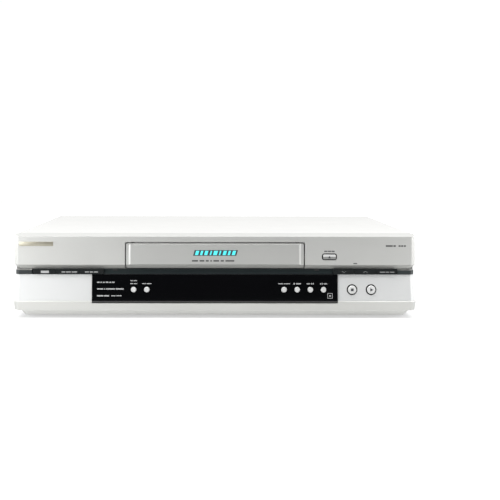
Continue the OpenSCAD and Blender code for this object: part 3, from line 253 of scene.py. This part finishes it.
def soften(bm, width, segments, wanted):
    """Rounds the outer edges that wanted picks."""
    edges = []
    for edge in bm.edges:
        if len(edge.link_faces) != 2 or not edge.is_convex:
            continue
        if edge.calc_face_angle(0) > SHARP_EDGE and wanted(edge):
            edges.append(edge)
    bmesh.ops.bevel(bm, geom=edges, offset=width, offset_type="OFFSET", segments=segments,
                    profile=0.5, affect="EDGES", clamp_overlap=False, material=-1)


def dish(bm, rim, depth):
    """Sinks the middle of a key's flat front, within a rim."""
    front = min(bm.faces, key=lambda face: face.calc_center_median().y)
    bmesh.ops.inset_region(bm, faces=[front], thickness=rim * MM, depth=0)
    bmesh.ops.inset_region(bm, faces=[front], thickness=rim * MM, depth=-depth * MM)


def dress(node, width, *materials, segments=2, wanted=lambda edge: True, shape=lambda bm: None,
          smooth=SMOOTH_BELOW):
    """A piece that stands for a node: its shape, with edges rounded by a width in millimetres."""
    bm = bmesh.new()
    bm.from_mesh(nodes[node].data)
    bmesh.ops.remove_doubles(bm, verts=bm.verts, dist=MERGE)
    bmesh.ops.dissolve_limit(bm, angle_limit=FLAT, verts=bm.verts, edges=bm.edges)
    bmesh.ops.dissolve_degenerate(bm, dist=MERGE, edges=bm.edges)
    shape(bm)
    soften(bm, width * MM, segments, wanted)
    bmesh.ops.dissolve_degenerate(bm, dist=MERGE, edges=bm.edges)
    for face in bm.faces:
        face.material_index = 0
    piece = new_piece(node + "_finished", bm, nodes[node]["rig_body"], *materials, smooth=smooth)
    normals = piece.modifiers.new("even_normals", "WEIGHTED_NORMAL")
    normals.keep_sharp = True
    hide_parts(node)
    return piece


def finish_faces(piece, material, wanted):
    """Gives the faces that wanted picks another of the piece's finishes."""
    index = piece.data.materials.find(material.name)
    for face in piece.data.polygons:
        if wanted(face.center, face.normal):
            face.material_index = index


bezel_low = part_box("front_bezel")[0]
flap_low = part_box("cassette_flap")[0]
window_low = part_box("display_window")[0]
cover_low, cover_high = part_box("top_cover")

# Front of the upper panel; foot, height and lean of the lower one; the flap's half width and top
PANEL_Y = bezel_low.y + 0.9 * MM
LOWER_Z = window_low.z + 2.3 * MM
LOWER_H = 28.2 * MM
LOWER_LEAN = 2.0 * MM / LOWER_H
FLAP_X = 94.7 * MM
FLAP_TOP = flap_low.z + 27.05 * MM
WINDOW_EDGE_Z = window_low.z + 2.2 * MM
SLOT_GAP = 1.4 * MM
RELIEF = 1 * MM
STRIP_CORNER_X = 205 * MM


def middle(edge):
    return (edge.verts[0].co + edge.verts[1].co) / 2


def on_front(edge):
    """Outer edges of the bezel: in front of the cover and long enough to be rounded."""
    place = middle(edge)
    return place.y < cover_low.y - 0.1 * MM and edge.calc_length() > 0.9 * MM


def on_lower_panel(place, normal):
    return 0.03 < normal.z < 0.2 and LOWER_Z < place.z < LOWER_Z + LOWER_H


def in_slot(place, normal):
    """Walls of the cassette slot, behind its front edge, which are painted black as painted shade.
    """
    across = abs(place.x) < FLAP_X + SLOT_GAP
    upright = flap_low.z - SLOT_GAP < place.z < FLAP_TOP + SLOT_GAP
    return across and upright and place.y > PANEL_Y + 0.3 * MM


def under_slope(place, normal):
    slanting = normal.z < -0.4 and normal.y < -0.4
    return slanting and flap_low.z - 1 * MM < place.z < flap_low.z + 6 * MM


def on_flap_top(place, normal):
    return normal.z > 0.2 and place.y < PANEL_Y + RELIEF


def on_flap_end(place, normal):
    """Ramps at the two ends of the flap's raised face, which get a painted highlight."""
    return 0.15 < abs(normal.x) < 0.6 and normal.y < -0.5 and place.y < PANEL_Y + RELIEF


def on_lip(place, normal):
    return place.z < LOWER_Z and place.y < PANEL_Y + RELIEF


def below_lip(place, normal):
    return normal.z < -0.2 and place.z < LOWER_Z - 6 * MM


def longer(length, depth=None):
    """Picks edges longer than this in millimetres, no further than depth behind the panel."""
    def wanted(edge):
        near = depth is None or middle(edge).y < PANEL_Y + depth * MM
        return near and edge.calc_length() > length * MM

    return wanted


bezel = dress("front_bezel", 0.22, silver_paint, lower_silver_painted_light, black_painted_shade, under_silver_painted_shade, base_silver_painted_light,
              lip_silver_painted_light, wanted=on_front)
# The lip's front takes that lighter copy: painted light
finish_faces(bezel, lip_silver_painted_light, on_lip)
# Downward faces under the lip get the lighter copy: painted light
finish_faces(bezel, base_silver_painted_light, below_lip)
# The lower panel's up-leaning faces get the lighter copy: painted light
finish_faces(bezel, lower_silver_painted_light, on_lower_panel)
# The slot's walls behind its edge are painted black: painted shade
finish_faces(bezel, black_painted_shade, in_slot)
# Faces slanting down under the upper panel get the darker copy: painted shade
finish_faces(bezel, under_silver_painted_shade, under_slope)
dress("top_cover", 0.18, cover_paint, wanted=longer(2.5))
# The flap takes the darker copy of the silver paint: painted shade
flap = dress("cassette_flap", 0.16, flap_silver_painted_shade, under_silver_painted_shade, shade_silver, ridge_silver_painted_highlight,
             black_painted_shade, wanted=longer(0.8, 1.2), smooth=9)
# The flap's down-slanting faces get the darker copy as well: painted shade
finish_faces(flap, under_silver_painted_shade, under_slope)
finish_faces(flap, shade_silver, on_flap_top)
# The flap's end ramps get the lighter copy: painted highlight
finish_faces(flap, ridge_silver_painted_highlight, on_flap_end)
# The flap's side faces are painted black: painted shade in the gap round it
finish_faces(flap, black_painted_shade, lambda place, normal: abs(normal.x) > 0.7)


def cut_window_edge(bm):
    """Parts the window's lowest stretch from the rest."""
    bmesh.ops.bisect_plane(bm, geom=bm.verts[:] + bm.edges[:] + bm.faces[:], dist=MERGE,
                           plane_co=(0, 0, WINDOW_EDGE_Z), plane_no=(0, 0, 1))


window = dress("display_window", 0.25, window_black, window_edge, shape=cut_window_edge,
               wanted=longer(1.5, 1.5))
finish_faces(window, window_edge, lambda place, normal: place.z < WINDOW_EDGE_Z)


def strip_end_ledge(place, normal):
    """Slanting tops of the strip's ends, outside the keys."""
    return abs(place.x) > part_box("timer_key")[1].x and normal.z > 0.3


def round_strip_corners(bm):
    """Rounds the upright edges where the strip turns the casing's corners."""
    def upright_corner(edge):
        run = edge.verts[0].co - edge.verts[1].co
        return abs(middle(edge).x) > STRIP_CORNER_X and abs(run.z) > 0.8 * run.length

    soften(bm, 0.6 * MM, 3, upright_corner)


strip = dress("trim_strip", 0.15, black_trim, shade_silver, shape=round_strip_corners,
              wanted=longer(1.0))
finish_faces(strip, shade_silver, strip_end_ledge)
for name in ("power_key", "menu_key", "page_key", "channel_down_key", "channel_up_key",
             "timer_key"):
    dress(name, 0.25, key_black, segments=3)
for name in ("quick_button", "link_button", "check_button", "record_button", "rewind_button",
             "forward_button"):
    dress(name, 0.22, white_key, shape=lambda bm: dish(bm, 0.5, 0.2))
LARGE_DISH = 0.25
eject = dress("eject_button", 0.25, button_silver, black_painted_shade, shade_silver, segments=3)
finish_faces(eject, shade_silver, lambda place, normal: normal.y < -0.9 and abs(normal.z) < 0.1)
silver_buttons = [eject]
for name in ("stop_button", "play_button"):
    silver_buttons.append(dress(name, 0.3, button_silver, black_painted_shade, segments=3,
                                shape=lambda bm: dish(bm, 0.6, LARGE_DISH)))
# Faces behind the panel, the buttons' collars and side walls, are painted black: painted shade in
# the gaps round them
for button in silver_buttons:
    finish_faces(button, black_painted_shade, lambda place, normal: place.y > PANEL_Y + 0.6 * MM)
for name, width, segments, material in (
        ("rear_panel", 0.2, 2, rear_paint), ("feet", 0.7, 3, soft_rubber),
        ("screws", 0.35, 3, zinc_steel), ("mains_inlet", 0.4, 3, moulded_black),
        ("scart_sockets", 0.5, 3, moulded_black), ("audio_jacks", 0.25, 2, gilt),
        ("aerial_sockets", 0.3, 3, zinc_steel)):
    dress(name, width, material, segments=segments)


# Flat marks: bars, dots and arrows in thin ink

INK = 0.05 * MM
DOT_SIDES = 20
FRAME_LINE = 0.5
ARROW_SHARE = 0.9
CHEVRON_SIZE = 2.6
CHEVRON_SLOPE, CHEVRON_ARM, CHEVRON_LINE = 0.62, 0.85, 0.13


def level(y):
    """An upright surface at this depth."""
    return lambda z: y


def window_front(z):
    """Depth of the window's leaning front at a height."""
    return window_low.y + LOWER_LEAN * (z - LOWER_Z)


upper_front = level(PANEL_Y)
flap_front = level(flap_low.y)


def disc_sides(bm, sides, turn, size, shear=0.0):
    """A flat shape of so many sides about the origin, with its width and height in metres."""
    shape = bmesh.ops.create_circle(bm, cap_ends=True, segments=sides, radius=1.0)["verts"]
    bmesh.ops.rotate(bm, verts=shape, cent=(0, 0, 0), matrix=Matrix.Rotation(turn, 3, "Z"))
    width = max(v.co.x for v in shape) - min(v.co.x for v in shape)
    height = max(v.co.y for v in shape) - min(v.co.y for v in shape)
    bmesh.ops.scale(bm, verts=shape, vec=(size[0] / width, size[1] / height, 1))
    for vert in shape:
        vert.co.x += shear * vert.co.y
    return shape


def lay_on_front(bm, shape, x, z, front, spin=0.0):
    """Stands a flat shape up on a surface that faces the front, as a thin layer of ink."""
    bmesh.ops.rotate(bm, verts=shape, cent=(0, 0, 0), matrix=Matrix.Rotation(spin, 3, "Z"))
    bmesh.ops.rotate(bm, verts=shape, cent=(0, 0, 0),
                     matrix=Matrix.Rotation(math.radians(90), 3, "X"))
    bmesh.ops.translate(bm, verts=shape, vec=(x, 0, z))
    for vert in shape:
        vert.co.y = front(vert.co.z) - INK
    faces = {f for v in shape for f in v.link_faces}
    back = bmesh.ops.extrude_face_region(bm, geom=list(faces))["geom"]
    bmesh.ops.translate(bm, verts=[v for v in back if isinstance(v, bmesh.types.BMVert)],
                        vec=(0, INK * 2, 0))


def bar(bm, x, z, w, h, front, spin=0.0, shear=0.0):
    """A bar about a point; this and the other marks take millimetres."""
    shape = disc_sides(bm, 4, math.radians(45), (w * MM, h * MM), shear)
    lay_on_front(bm, shape, x * MM, z * MM, front, math.radians(spin))


def dot(bm, x, z, d, front):
    lay_on_front(bm, disc_sides(bm, DOT_SIDES, 0, (d * MM, d * MM)), x * MM, z * MM, front)


def arrow(bm, x, z, size, front, spin=0.0):
    """A triangle that points to the right, turned by spin."""
    shape = disc_sides(bm, 3, math.radians(-90), (size * ARROW_SHARE * MM, size * MM))
    lay_on_front(bm, shape, x * MM, z * MM, front, math.radians(spin))


def chevron(bm, x, z, size, front, up):
    """Two slanting bars that meet in a point."""
    shear = CHEVRON_SLOPE if up else -CHEVRON_SLOPE
    arm = size * CHEVRON_ARM
    for side in (-1, 1):
        shape = disc_sides(bm, 4, math.radians(45), (arm * MM, size * CHEVRON_LINE * MM))
        for vert in shape:
            vert.co.y -= side * shear * vert.co.x
        lay_on_front(bm, shape, (x + side * arm / 2) * MM, z * MM, front)


def dashes(bm, x, z, lengths, h, front, gap=0.9):
    """A row of bars that starts at x."""
    for length in lengths:
        bar(bm, x + length / 2, z, length, h, front)
        x += length + gap


def outline(bm, low, high, line, front):
    """A rectangle of four thin bars between two corners."""
    w, h = high[0] - low[0], high[1] - low[1]
    x, z = (high[0] + low[0]) / 2, (high[1] + low[1]) / 2
    for side in (-1, 1):
        bar(bm, x, z + side * h / 2, w + line, line, front)
        bar(bm, x + side * w / 2, z, line, h - line, front)


def marks(name, body, material, draw):
    """A piece of thin ink that draw lays out."""
    bm = bmesh.new()
    draw(bm)
    bmesh.ops.recalc_face_normals(bm, faces=bm.faces)
    new_piece(name, bm, body, material, smooth=0)


def centre(node):
    """Middle of a node's front, with its depth in metres."""
    low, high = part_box(node)
    return (low.x + high.x) / 2 / MM, (low.z + high.z) / 2 / MM, low.y


TEXT_X = -125.4
TOP_ROW, MIDDLE_ROW, LOW_ROW = 38.3, 31.3, 24.1
KEY_ROW, UPPER_KEY_ROW = 36.9, 40.1
WORD_GAP = 0.8
FRAME_X, FRAME_Z, FRAME_HALF = 122.6, 24.2, 2.5


def draw_window_print(bm):
    """Rows of dashes, a mark over each small key and a framed dot."""
    dashes(bm, TEXT_X, TOP_ROW, (2.6, 1.6, 2.2, 3.0, 2.2, 2.4), 1.25, window_front)
    dashes(bm, TEXT_X, MIDDLE_ROW, (6.5, 1.2, 9.5, 8.5), 1.3, window_front)
    dashes(bm, TEXT_X, LOW_ROW, (6.8, 5.2), 1.4, window_front, WORD_GAP)
    dashes(bm, TEXT_X + 15.2, LOW_ROW, (4.6, 5.4), 0.95, window_front)
    for key, row, lengths in (("quick_button", UPPER_KEY_ROW, (2.6, 3.4)),
                              ("quick_button", KEY_ROW, (3.0, 3.6)),
                              ("link_button", KEY_ROW, (4.0, 5.0)),
                              ("check_button", KEY_ROW, (5.4, 6.4))):
        x = centre(key)[0] - (sum(lengths) + WORD_GAP) / 2
        dashes(bm, x, row, lengths, 0.9, window_front, WORD_GAP)
    x = centre("record_button")[0]
    dot(bm, x - 3.2, KEY_ROW, 1.9, window_front)
    bar(bm, x + 1.4, KEY_ROW, 5.0, 1.25, window_front)
    for key, spin, side in (("rewind_button", 180, 1), ("forward_button", 0, -1)):
        x = centre(key)[0]
        bar(bm, x - side * 2.2, KEY_ROW, 3.4, 1.15, window_front)
        for step in (1.2, 3.1):
            arrow(bm, x + side * step, KEY_ROW, 1.9, window_front, spin)
    outline(bm, (FRAME_X - FRAME_HALF, FRAME_Z - FRAME_HALF),
            (FRAME_X + FRAME_HALF, FRAME_Z + FRAME_HALF), FRAME_LINE, window_front)
    dot(bm, FRAME_X, FRAME_Z, 2.0, window_front)


marks("window_print", "chassis", print_white, draw_window_print)


def key_mark(key, material, draw, sunk=0.0):
    """A mark on a key's front, which moves with the key."""
    x, z, y = centre(key)
    marks(key + "_mark", key, material, lambda bm: draw(bm, x, z, level(y + sunk * MM)))


def word(left, drop, lengths, h):
    """A row of dashes that starts left of a key's middle and a little below it."""
    return lambda bm, x, z, front: dashes(bm, x - left, z - drop, lengths, h, front)


def point(up):
    """A chevron on a key's middle."""
    return lambda bm, x, z, front: chevron(bm, x, z, CHEVRON_SIZE, front, up)


key_mark("power_key", print_white,
         lambda bm, x, z, front: bar(bm, x + 0.9, z - 0.2, 8.6, 2.5, front))
key_mark("menu_key", print_white, word(6.8, 0.3, (4.0, 5.0, 5.6), 0.95))
key_mark("page_key", print_white, word(7.2, 0.3, (4.2, 3.4, 4.4), 1.0))
key_mark("channel_down_key", print_white, point(False))
key_mark("channel_up_key", print_white, point(True))
key_mark("timer_key", print_white, word(7.4, 0.2, (5.4, 3.6, 4.6), 0.65))
key_mark("eject_button", print_dark,
         lambda bm, x, z, front: arrow(bm, x, z - 0.6, 2.9, front, 90))
key_mark("stop_button", print_dark,
         lambda bm, x, z, front: bar(bm, x, z, 2.9, 2.9, front), LARGE_DISH)
key_mark("play_button", print_dark,
         lambda bm, x, z, front: arrow(bm, x, z, 3.7, front), LARGE_DISH)


CORNER_ROW = 77.3


def draw_panel_print(bm):
    """Dashes in the right corner, over the eject button and above the strip."""
    dashes(bm, 182.0, CORNER_ROW, (7.4, 2.6), 1.7, upper_front, 0.7)
    dashes(bm, 195.6, CORNER_ROW, (2.2, 2.2, 2.2), 1.6, upper_front, 0.6)
    dashes(bm, 116.4, 71.6, (3.2, 3.6, 3.2), 1.2, upper_front, 0.5)
    bar(bm, 149.5, 58.6, 4.0, 1.1, upper_front)


marks("panel_print", "chassis", print_grey, draw_panel_print)


SLANT = 0.3
STRIPE_X, STRIPE_Z, STRIPE_STEP = 0.6, 69.8, 4.9
STRIPES = (3.4, 2.4, 3.4, 1.6, 4.2, 1.6, 3.4, 2.4, 3.4)


def draw_flap_band(bm):
    bar(bm, STRIPE_X, STRIPE_Z, 46.0, 6.0, flap_front, 0, SLANT)


def draw_flap_stripes(bm):
    """Slanting stripes of several widths, on the band."""
    for i, width in enumerate(STRIPES):
        x = STRIPE_X + (i - len(STRIPES) // 2) * STRIPE_STEP
        bar(bm, x, STRIPE_Z, width, 4.6, level(flap_low.y - INK), 0, SLANT)


def draw_flap_line(bm):
    dashes(bm, -24.4, 61.4, (6.4, 5.0, 3.0, 1.6, 6.0, 3.4, 9.4), 1.6, flap_front, 1.7)


marks("flap_band", "cassette_flap", print_dark, draw_flap_band)
marks("flap_stripes", "cassette_flap", print_teal, draw_flap_stripes)
marks("flap_line", "cassette_flap", print_grey, draw_flap_line)


# Small blocks: badge, shelf and lamps

def add_block(bm, low, high):
    """A plain block between two corners."""
    shape = bmesh.ops.create_cube(bm, size=1.0)["verts"]
    bmesh.ops.scale(bm, verts=shape, vec=Vector(high) - Vector(low))
    bmesh.ops.translate(bm, verts=shape, vec=(Vector(high) + Vector(low)) / 2)


def rounded_block(name, body, low, high, radius, material):
    """A block between two corners, with all its edges rounded."""
    bm = bmesh.new()
    add_block(bm, low, high)
    bmesh.ops.bevel(bm, geom=bm.edges[:], offset=radius, offset_type="OFFSET", segments=3,
                    profile=0.5, affect="EDGES", clamp_overlap=True, material=-1)
    new_piece(name, bm, body, material)


rounded_block("blank_badge", "chassis", (-208.5 * MM, PANEL_Y - 0.45 * MM, 76.9 * MM),
              (-172.2 * MM, PANEL_Y + 0.3 * MM, 81.5 * MM), 0.25 * MM, badge_metal)

# Shelf along the flap's top edge, which closes the gap above it
SHELF_X = FLAP_X - 9 * MM
rounded_block("flap_shelf", "cassette_flap", (-SHELF_X, PANEL_Y + 1.2 * MM, FLAP_TOP - 1.1 * MM),
              (SHELF_X, PANEL_Y + 4.5 * MM, FLAP_TOP + 0.5 * MM), 0.2 * MM, silver_paint)

# Lamps beside the flap, sunk in the strip, as blocks of near black that paint the shade in their
# slots
LAMP_HALF = 2.6
strip_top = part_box("trim_strip")[1].z
for name, x in (("left_lamp", -106.4), ("right_lamp", 108.4)):
    rounded_block(name, "chassis", ((x - LAMP_HALF) * MM, PANEL_Y + 2.9 * MM, strip_top - 1.9 * MM),
                  ((x + LAMP_HALF) * MM, PANEL_Y + 4.0 * MM, strip_top - 0.3 * MM), 0.3 * MM,
                  black_painted_shade)


# Rear sockets

scart_low, scart_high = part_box("scart_sockets")
scart_z = (scart_low.z + scart_high.z) / 2
SCART_HALF = 24 * MM
CONTACTS, CONTACT_STEP = 10, 3.6 * MM
CONTACT_ROWS = ((2.6 * MM, 0.0), (-2.6 * MM, 1.6 * MM))
CONTACT_X, CONTACT_Z = 0.3 * MM, 1.1 * MM
contact_back, contact_front = scart_high.y - 10.2 * MM, scart_high.y - 4.5 * MM
bm = bmesh.new()
for socket_x in (scart_low.x + SCART_HALF, scart_high.x - SCART_HALF):
    for i in range(CONTACTS):
        for row, shift in CONTACT_ROWS:
            if row < 0 and i == 0:
                continue
            x = socket_x + (i - (CONTACTS - 1) / 2) * CONTACT_STEP + shift
            z = scart_z + row
            add_block(bm, (x - CONTACT_X, contact_back, z - CONTACT_Z),
                      (x + CONTACT_X, contact_front, z + CONTACT_Z))
new_piece("scart_contacts", bm, "chassis", gilt, smooth=0)


RING_STEPS = 40


def ring(name, x, y, z, inner, outer, depth, material):
    """A flat ring round a socket, which faces the rear."""
    bm = bmesh.new()
    corners = [bm.verts.new((x + r * MM, y + d, z)) for r, d in
               ((inner, 0), (outer, 0), (outer, depth), (inner, depth))]
    edges = [bm.edges.new((corners[i], corners[(i + 1) % 4])) for i in range(4)]
    bmesh.ops.spin(bm, geom=edges, cent=(x, y, z), axis=(0, 1, 0), angle=math.tau, steps=RING_STEPS,
                   use_merge=True)
    bmesh.ops.remove_doubles(bm, verts=bm.verts, dist=MERGE)
    bmesh.ops.recalc_face_normals(bm, faces=bm.faces)
    new_piece(name, bm, "chassis", material)


jack_low, jack_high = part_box("audio_jacks")
rear_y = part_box("rear_panel")[1].y
jack_z = jack_low.z + 8 * MM
JACK_IN = 6 * MM
for name, x, material in (("left_ring", jack_low.x + JACK_IN, ring_white),
                          ("right_ring", jack_high.x - JACK_IN, ring_red)):
    ring(name, x, rear_y + 1.02 * MM, jack_z, 4.2, 5.6, 1.6 * MM, material)


ROOM_ABOVE = 5


def draw_rear_print(bm):
    """Thin frames round the groups of sockets, with a short bar over each socket."""
    on_rear = level(rear_y)
    for group, margin in (("aerial_sockets", 7), ("scart_sockets", 4), ("audio_jacks", 4)):
        low, high = (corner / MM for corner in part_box(group))
        outline(bm, (low.x - margin, low.z - margin),
                (high.x + margin, high.z + margin + ROOM_ABOVE), FRAME_LINE, on_rear)
        for share in (0.25, 0.75):
            bar(bm, low.x + share * (high.x - low.x), high.z + margin + 1.2, 7.5, 1.3, on_rear)
    low, high = (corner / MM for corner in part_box("mains_inlet"))
    dashes(bm, (low.x + high.x) / 2 - 6.4, high.z + 4.5, (3.6, 3.6, 3.6), 1.2, on_rear)


marks("rear_print", "chassis", print_white, draw_rear_print)

# Cross recesses of the cover's screws, at the rear and on the sides, as thin black blocks that
# paint the recesses' shade
screw_low, screw_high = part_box("screws")
screw_z = cover_high.z - 4.5 * MM
CROSS = ((1.6 * MM, 0.35 * MM), (0.35 * MM, 1.6 * MM))
REAR_SCREW_X = 0.8 * cover_high.x
SIDE_SCREW_YS, SIDE_SCREW_Z = (-73.1 * MM, 85 * MM), 17.5 * MM
SIDE_IN, SIDE_HALF = 0.14 * MM, 0.16 * MM
bm = bmesh.new()
for x in (-REAR_SCREW_X, 0, REAR_SCREW_X):
    for w, h in CROSS:
        add_block(bm, (x - w, screw_high.y - 0.3 * MM, screw_z - h),
                  (x + w, screw_high.y + 0.02 * MM, screw_z + h))
for x in (screw_low.x + SIDE_IN, screw_high.x - SIDE_IN):
    for y in SIDE_SCREW_YS:
        for w, h in CROSS:
            add_block(bm, (x - SIDE_HALF, y - w, SIDE_SCREW_Z - h),
                      (x + SIDE_HALF, y + w, SIDE_SCREW_Z + h))
new_piece("screw_recesses", bm, "chassis", black_painted_shade, smooth=0)


# Stage, light and camera

WHITE = (1, 1, 1, 1)


def stage_sheet(name, low, high, z, colour, glow):
    """A flat sheet of pale paper that glows more dimly near the object, a painted shadow round it,
    and more brightly away from it.
    """
    bm = bmesh.new()
    shape = bmesh.ops.create_grid(bm, x_segments=1, y_segments=1, size=0.5)["verts"]
    bmesh.ops.scale(bm, verts=shape, vec=(high[0] - low[0], high[1] - low[1], 1))
    bmesh.ops.translate(bm, verts=shape, vec=((high[0] + low[0]) / 2, (high[1] + low[1]) / 2, z))
    mesh = bpy.data.meshes.new(name)
    bm.to_mesh(mesh)
    bm.free()
    sheet = bpy.data.objects.new(name, mesh)
    scene.collection.objects.link(sheet)
    material, shader = plain_finish(name + "_paper", colour, 0.9, specular=0.0)
    shader.inputs["Emission Color"].default_value = WHITE
    tree = material.node_tree
    place = tree.nodes.new("ShaderNodeTexCoord")
    nearness = tree.nodes.new("ShaderNodeTexGradient")
    nearness.gradient_type = "SPHERICAL"
    fade = tree.nodes.new("ShaderNodeValToRGB")
    fade.color_ramp.elements.new(0.5)
    for step, (nearby, strength) in zip(fade.color_ramp.elements, glow):
        step.position = nearby
        step.color = (strength, strength, strength, 1)
    tree.links.new(place.outputs["Object"], nearness.inputs["Vector"])
    tree.links.new(nearness.outputs["Fac"], fade.inputs["Fac"])
    tree.links.new(fade.outputs["Color"], shader.inputs["Emission Strength"])
    paint(sheet, material)


FLOOR_LOW, FLOOR_HIGH, FLOOR_Z = (-6, -0.67), (6, 2), -0.2 * MM
FLOOR_GREY = (0.4, 0.4, 0.4)
# Nearness to the object, and how brightly the floor glows there; the dimmer glow near the object is
# a painted shadow
FLOOR_GLOW_AND_SHADOW = ((0.0, 1.0), (0.33, 0.5), (0.8, 0.44))
stage_sheet("floor", FLOOR_LOW, FLOOR_HIGH, FLOOR_Z, FLOOR_GREY, FLOOR_GLOW_AND_SHADOW)

FRONT_END, REAR_END = -0.7, 0.2
BACKDROP_GLOW = 1.02


def studio_air(front_glow, rear_glow):
    """Surroundings that are dim in front of the object and light behind it, and a backdrop."""
    world = bpy.data.worlds.new("studio")
    scene.world = world
    world.use_nodes = True
    tree = world.node_tree
    direction = tree.nodes.new("ShaderNodeTexCoord")
    split = tree.nodes.new("ShaderNodeSeparateXYZ")
    ramp = tree.nodes.new("ShaderNodeMapRange")
    ramp.interpolation_type = "SMOOTHSTEP"
    ramp.inputs["From Min"].default_value = FRONT_END
    ramp.inputs["From Max"].default_value = REAR_END
    ramp.inputs["To Min"].default_value = front_glow
    ramp.inputs["To Max"].default_value = rear_glow
    tree.links.new(direction.outputs["Generated"], split.inputs["Vector"])
    tree.links.new(split.outputs["Y"], ramp.inputs["Value"])
    tree.links.new(ramp.outputs["Result"], tree.nodes["Background"].inputs["Strength"])
    tree.nodes["Background"].inputs["Color"].default_value = WHITE
    backdrop = tree.nodes.new("ShaderNodeBackground")
    backdrop.inputs["Color"].default_value = WHITE
    backdrop.inputs["Strength"].default_value = BACKDROP_GLOW
    path = tree.nodes.new("ShaderNodeLightPath")
    either = tree.nodes.new("ShaderNodeMixShader")
    tree.links.new(path.outputs["Is Camera Ray"], either.inputs["Fac"])
    tree.links.new(tree.nodes["Background"].outputs["Background"], either.inputs[1])
    tree.links.new(backdrop.outputs["Background"], either.inputs[2])
    tree.links.new(either.outputs["Shader"], tree.nodes["World Output"].inputs["Surface"])


studio_air(front_glow=0.10, rear_glow=1.15)


def soft_box(name, place, target, width, height, power):
    """A rectangular light that faces its target and that the camera doesn't see."""
    light = bpy.data.lights.new(name, "AREA")
    light.shape = "RECTANGLE"
    light.size = width
    light.size_y = height
    light.energy = power
    lamp = bpy.data.objects.new(name, light)
    scene.collection.objects.link(lamp)
    lamp.location = place
    lamp.rotation_euler = (Vector(target) - Vector(place)).to_track_quat("-Z", "Y").to_euler()
    lamp.visible_camera = False


soft_box("top_light", (0.0, -0.42, 1.25), (0, -0.14, 0.05), 1.6, 0.8, 28)
soft_box("left_light", (-0.46, -0.48, 0.20), (-0.2, -0.1, 0.06), 0.2, 0.4, 2.35)
soft_box("left_side_light", (-0.95, 0.12, 0.3), (-0.2, -0.05, 0.05), 0.5, 0.5, 3.5)
soft_box("right_side_light", (0.95, 0.12, 0.3), (0.2, -0.05, 0.05), 0.5, 0.5, 3.5)
soft_box("right_light", (0.40, -0.32, 0.18), (0.2, -0.12, 0.06), 0.15, 0.4, 0.58)

scene.view_settings.view_transform = "Standard"
scene.view_settings.look = "None"

# Camera: where it stands, how it is turned in degrees, and the framing of a square picture
EYE = (-6.3 * MM, PANEL_Y - 909.4 * MM, 172.7 * MM)
TURN = (90, -0.086, -0.21)
camera = bpy.data.cameras.new("camera")
camera.sensor_width = 36
camera.lens = 61.51
camera.shift_x = 0.0754
camera.shift_y = -0.1876
camera.clip_end = 50
viewer = bpy.data.objects.new("camera", camera)
scene.collection.objects.link(viewer)
viewer.location = EYE
viewer.rotation_euler = [math.radians(angle) for angle in TURN]
scene.camera = viewer
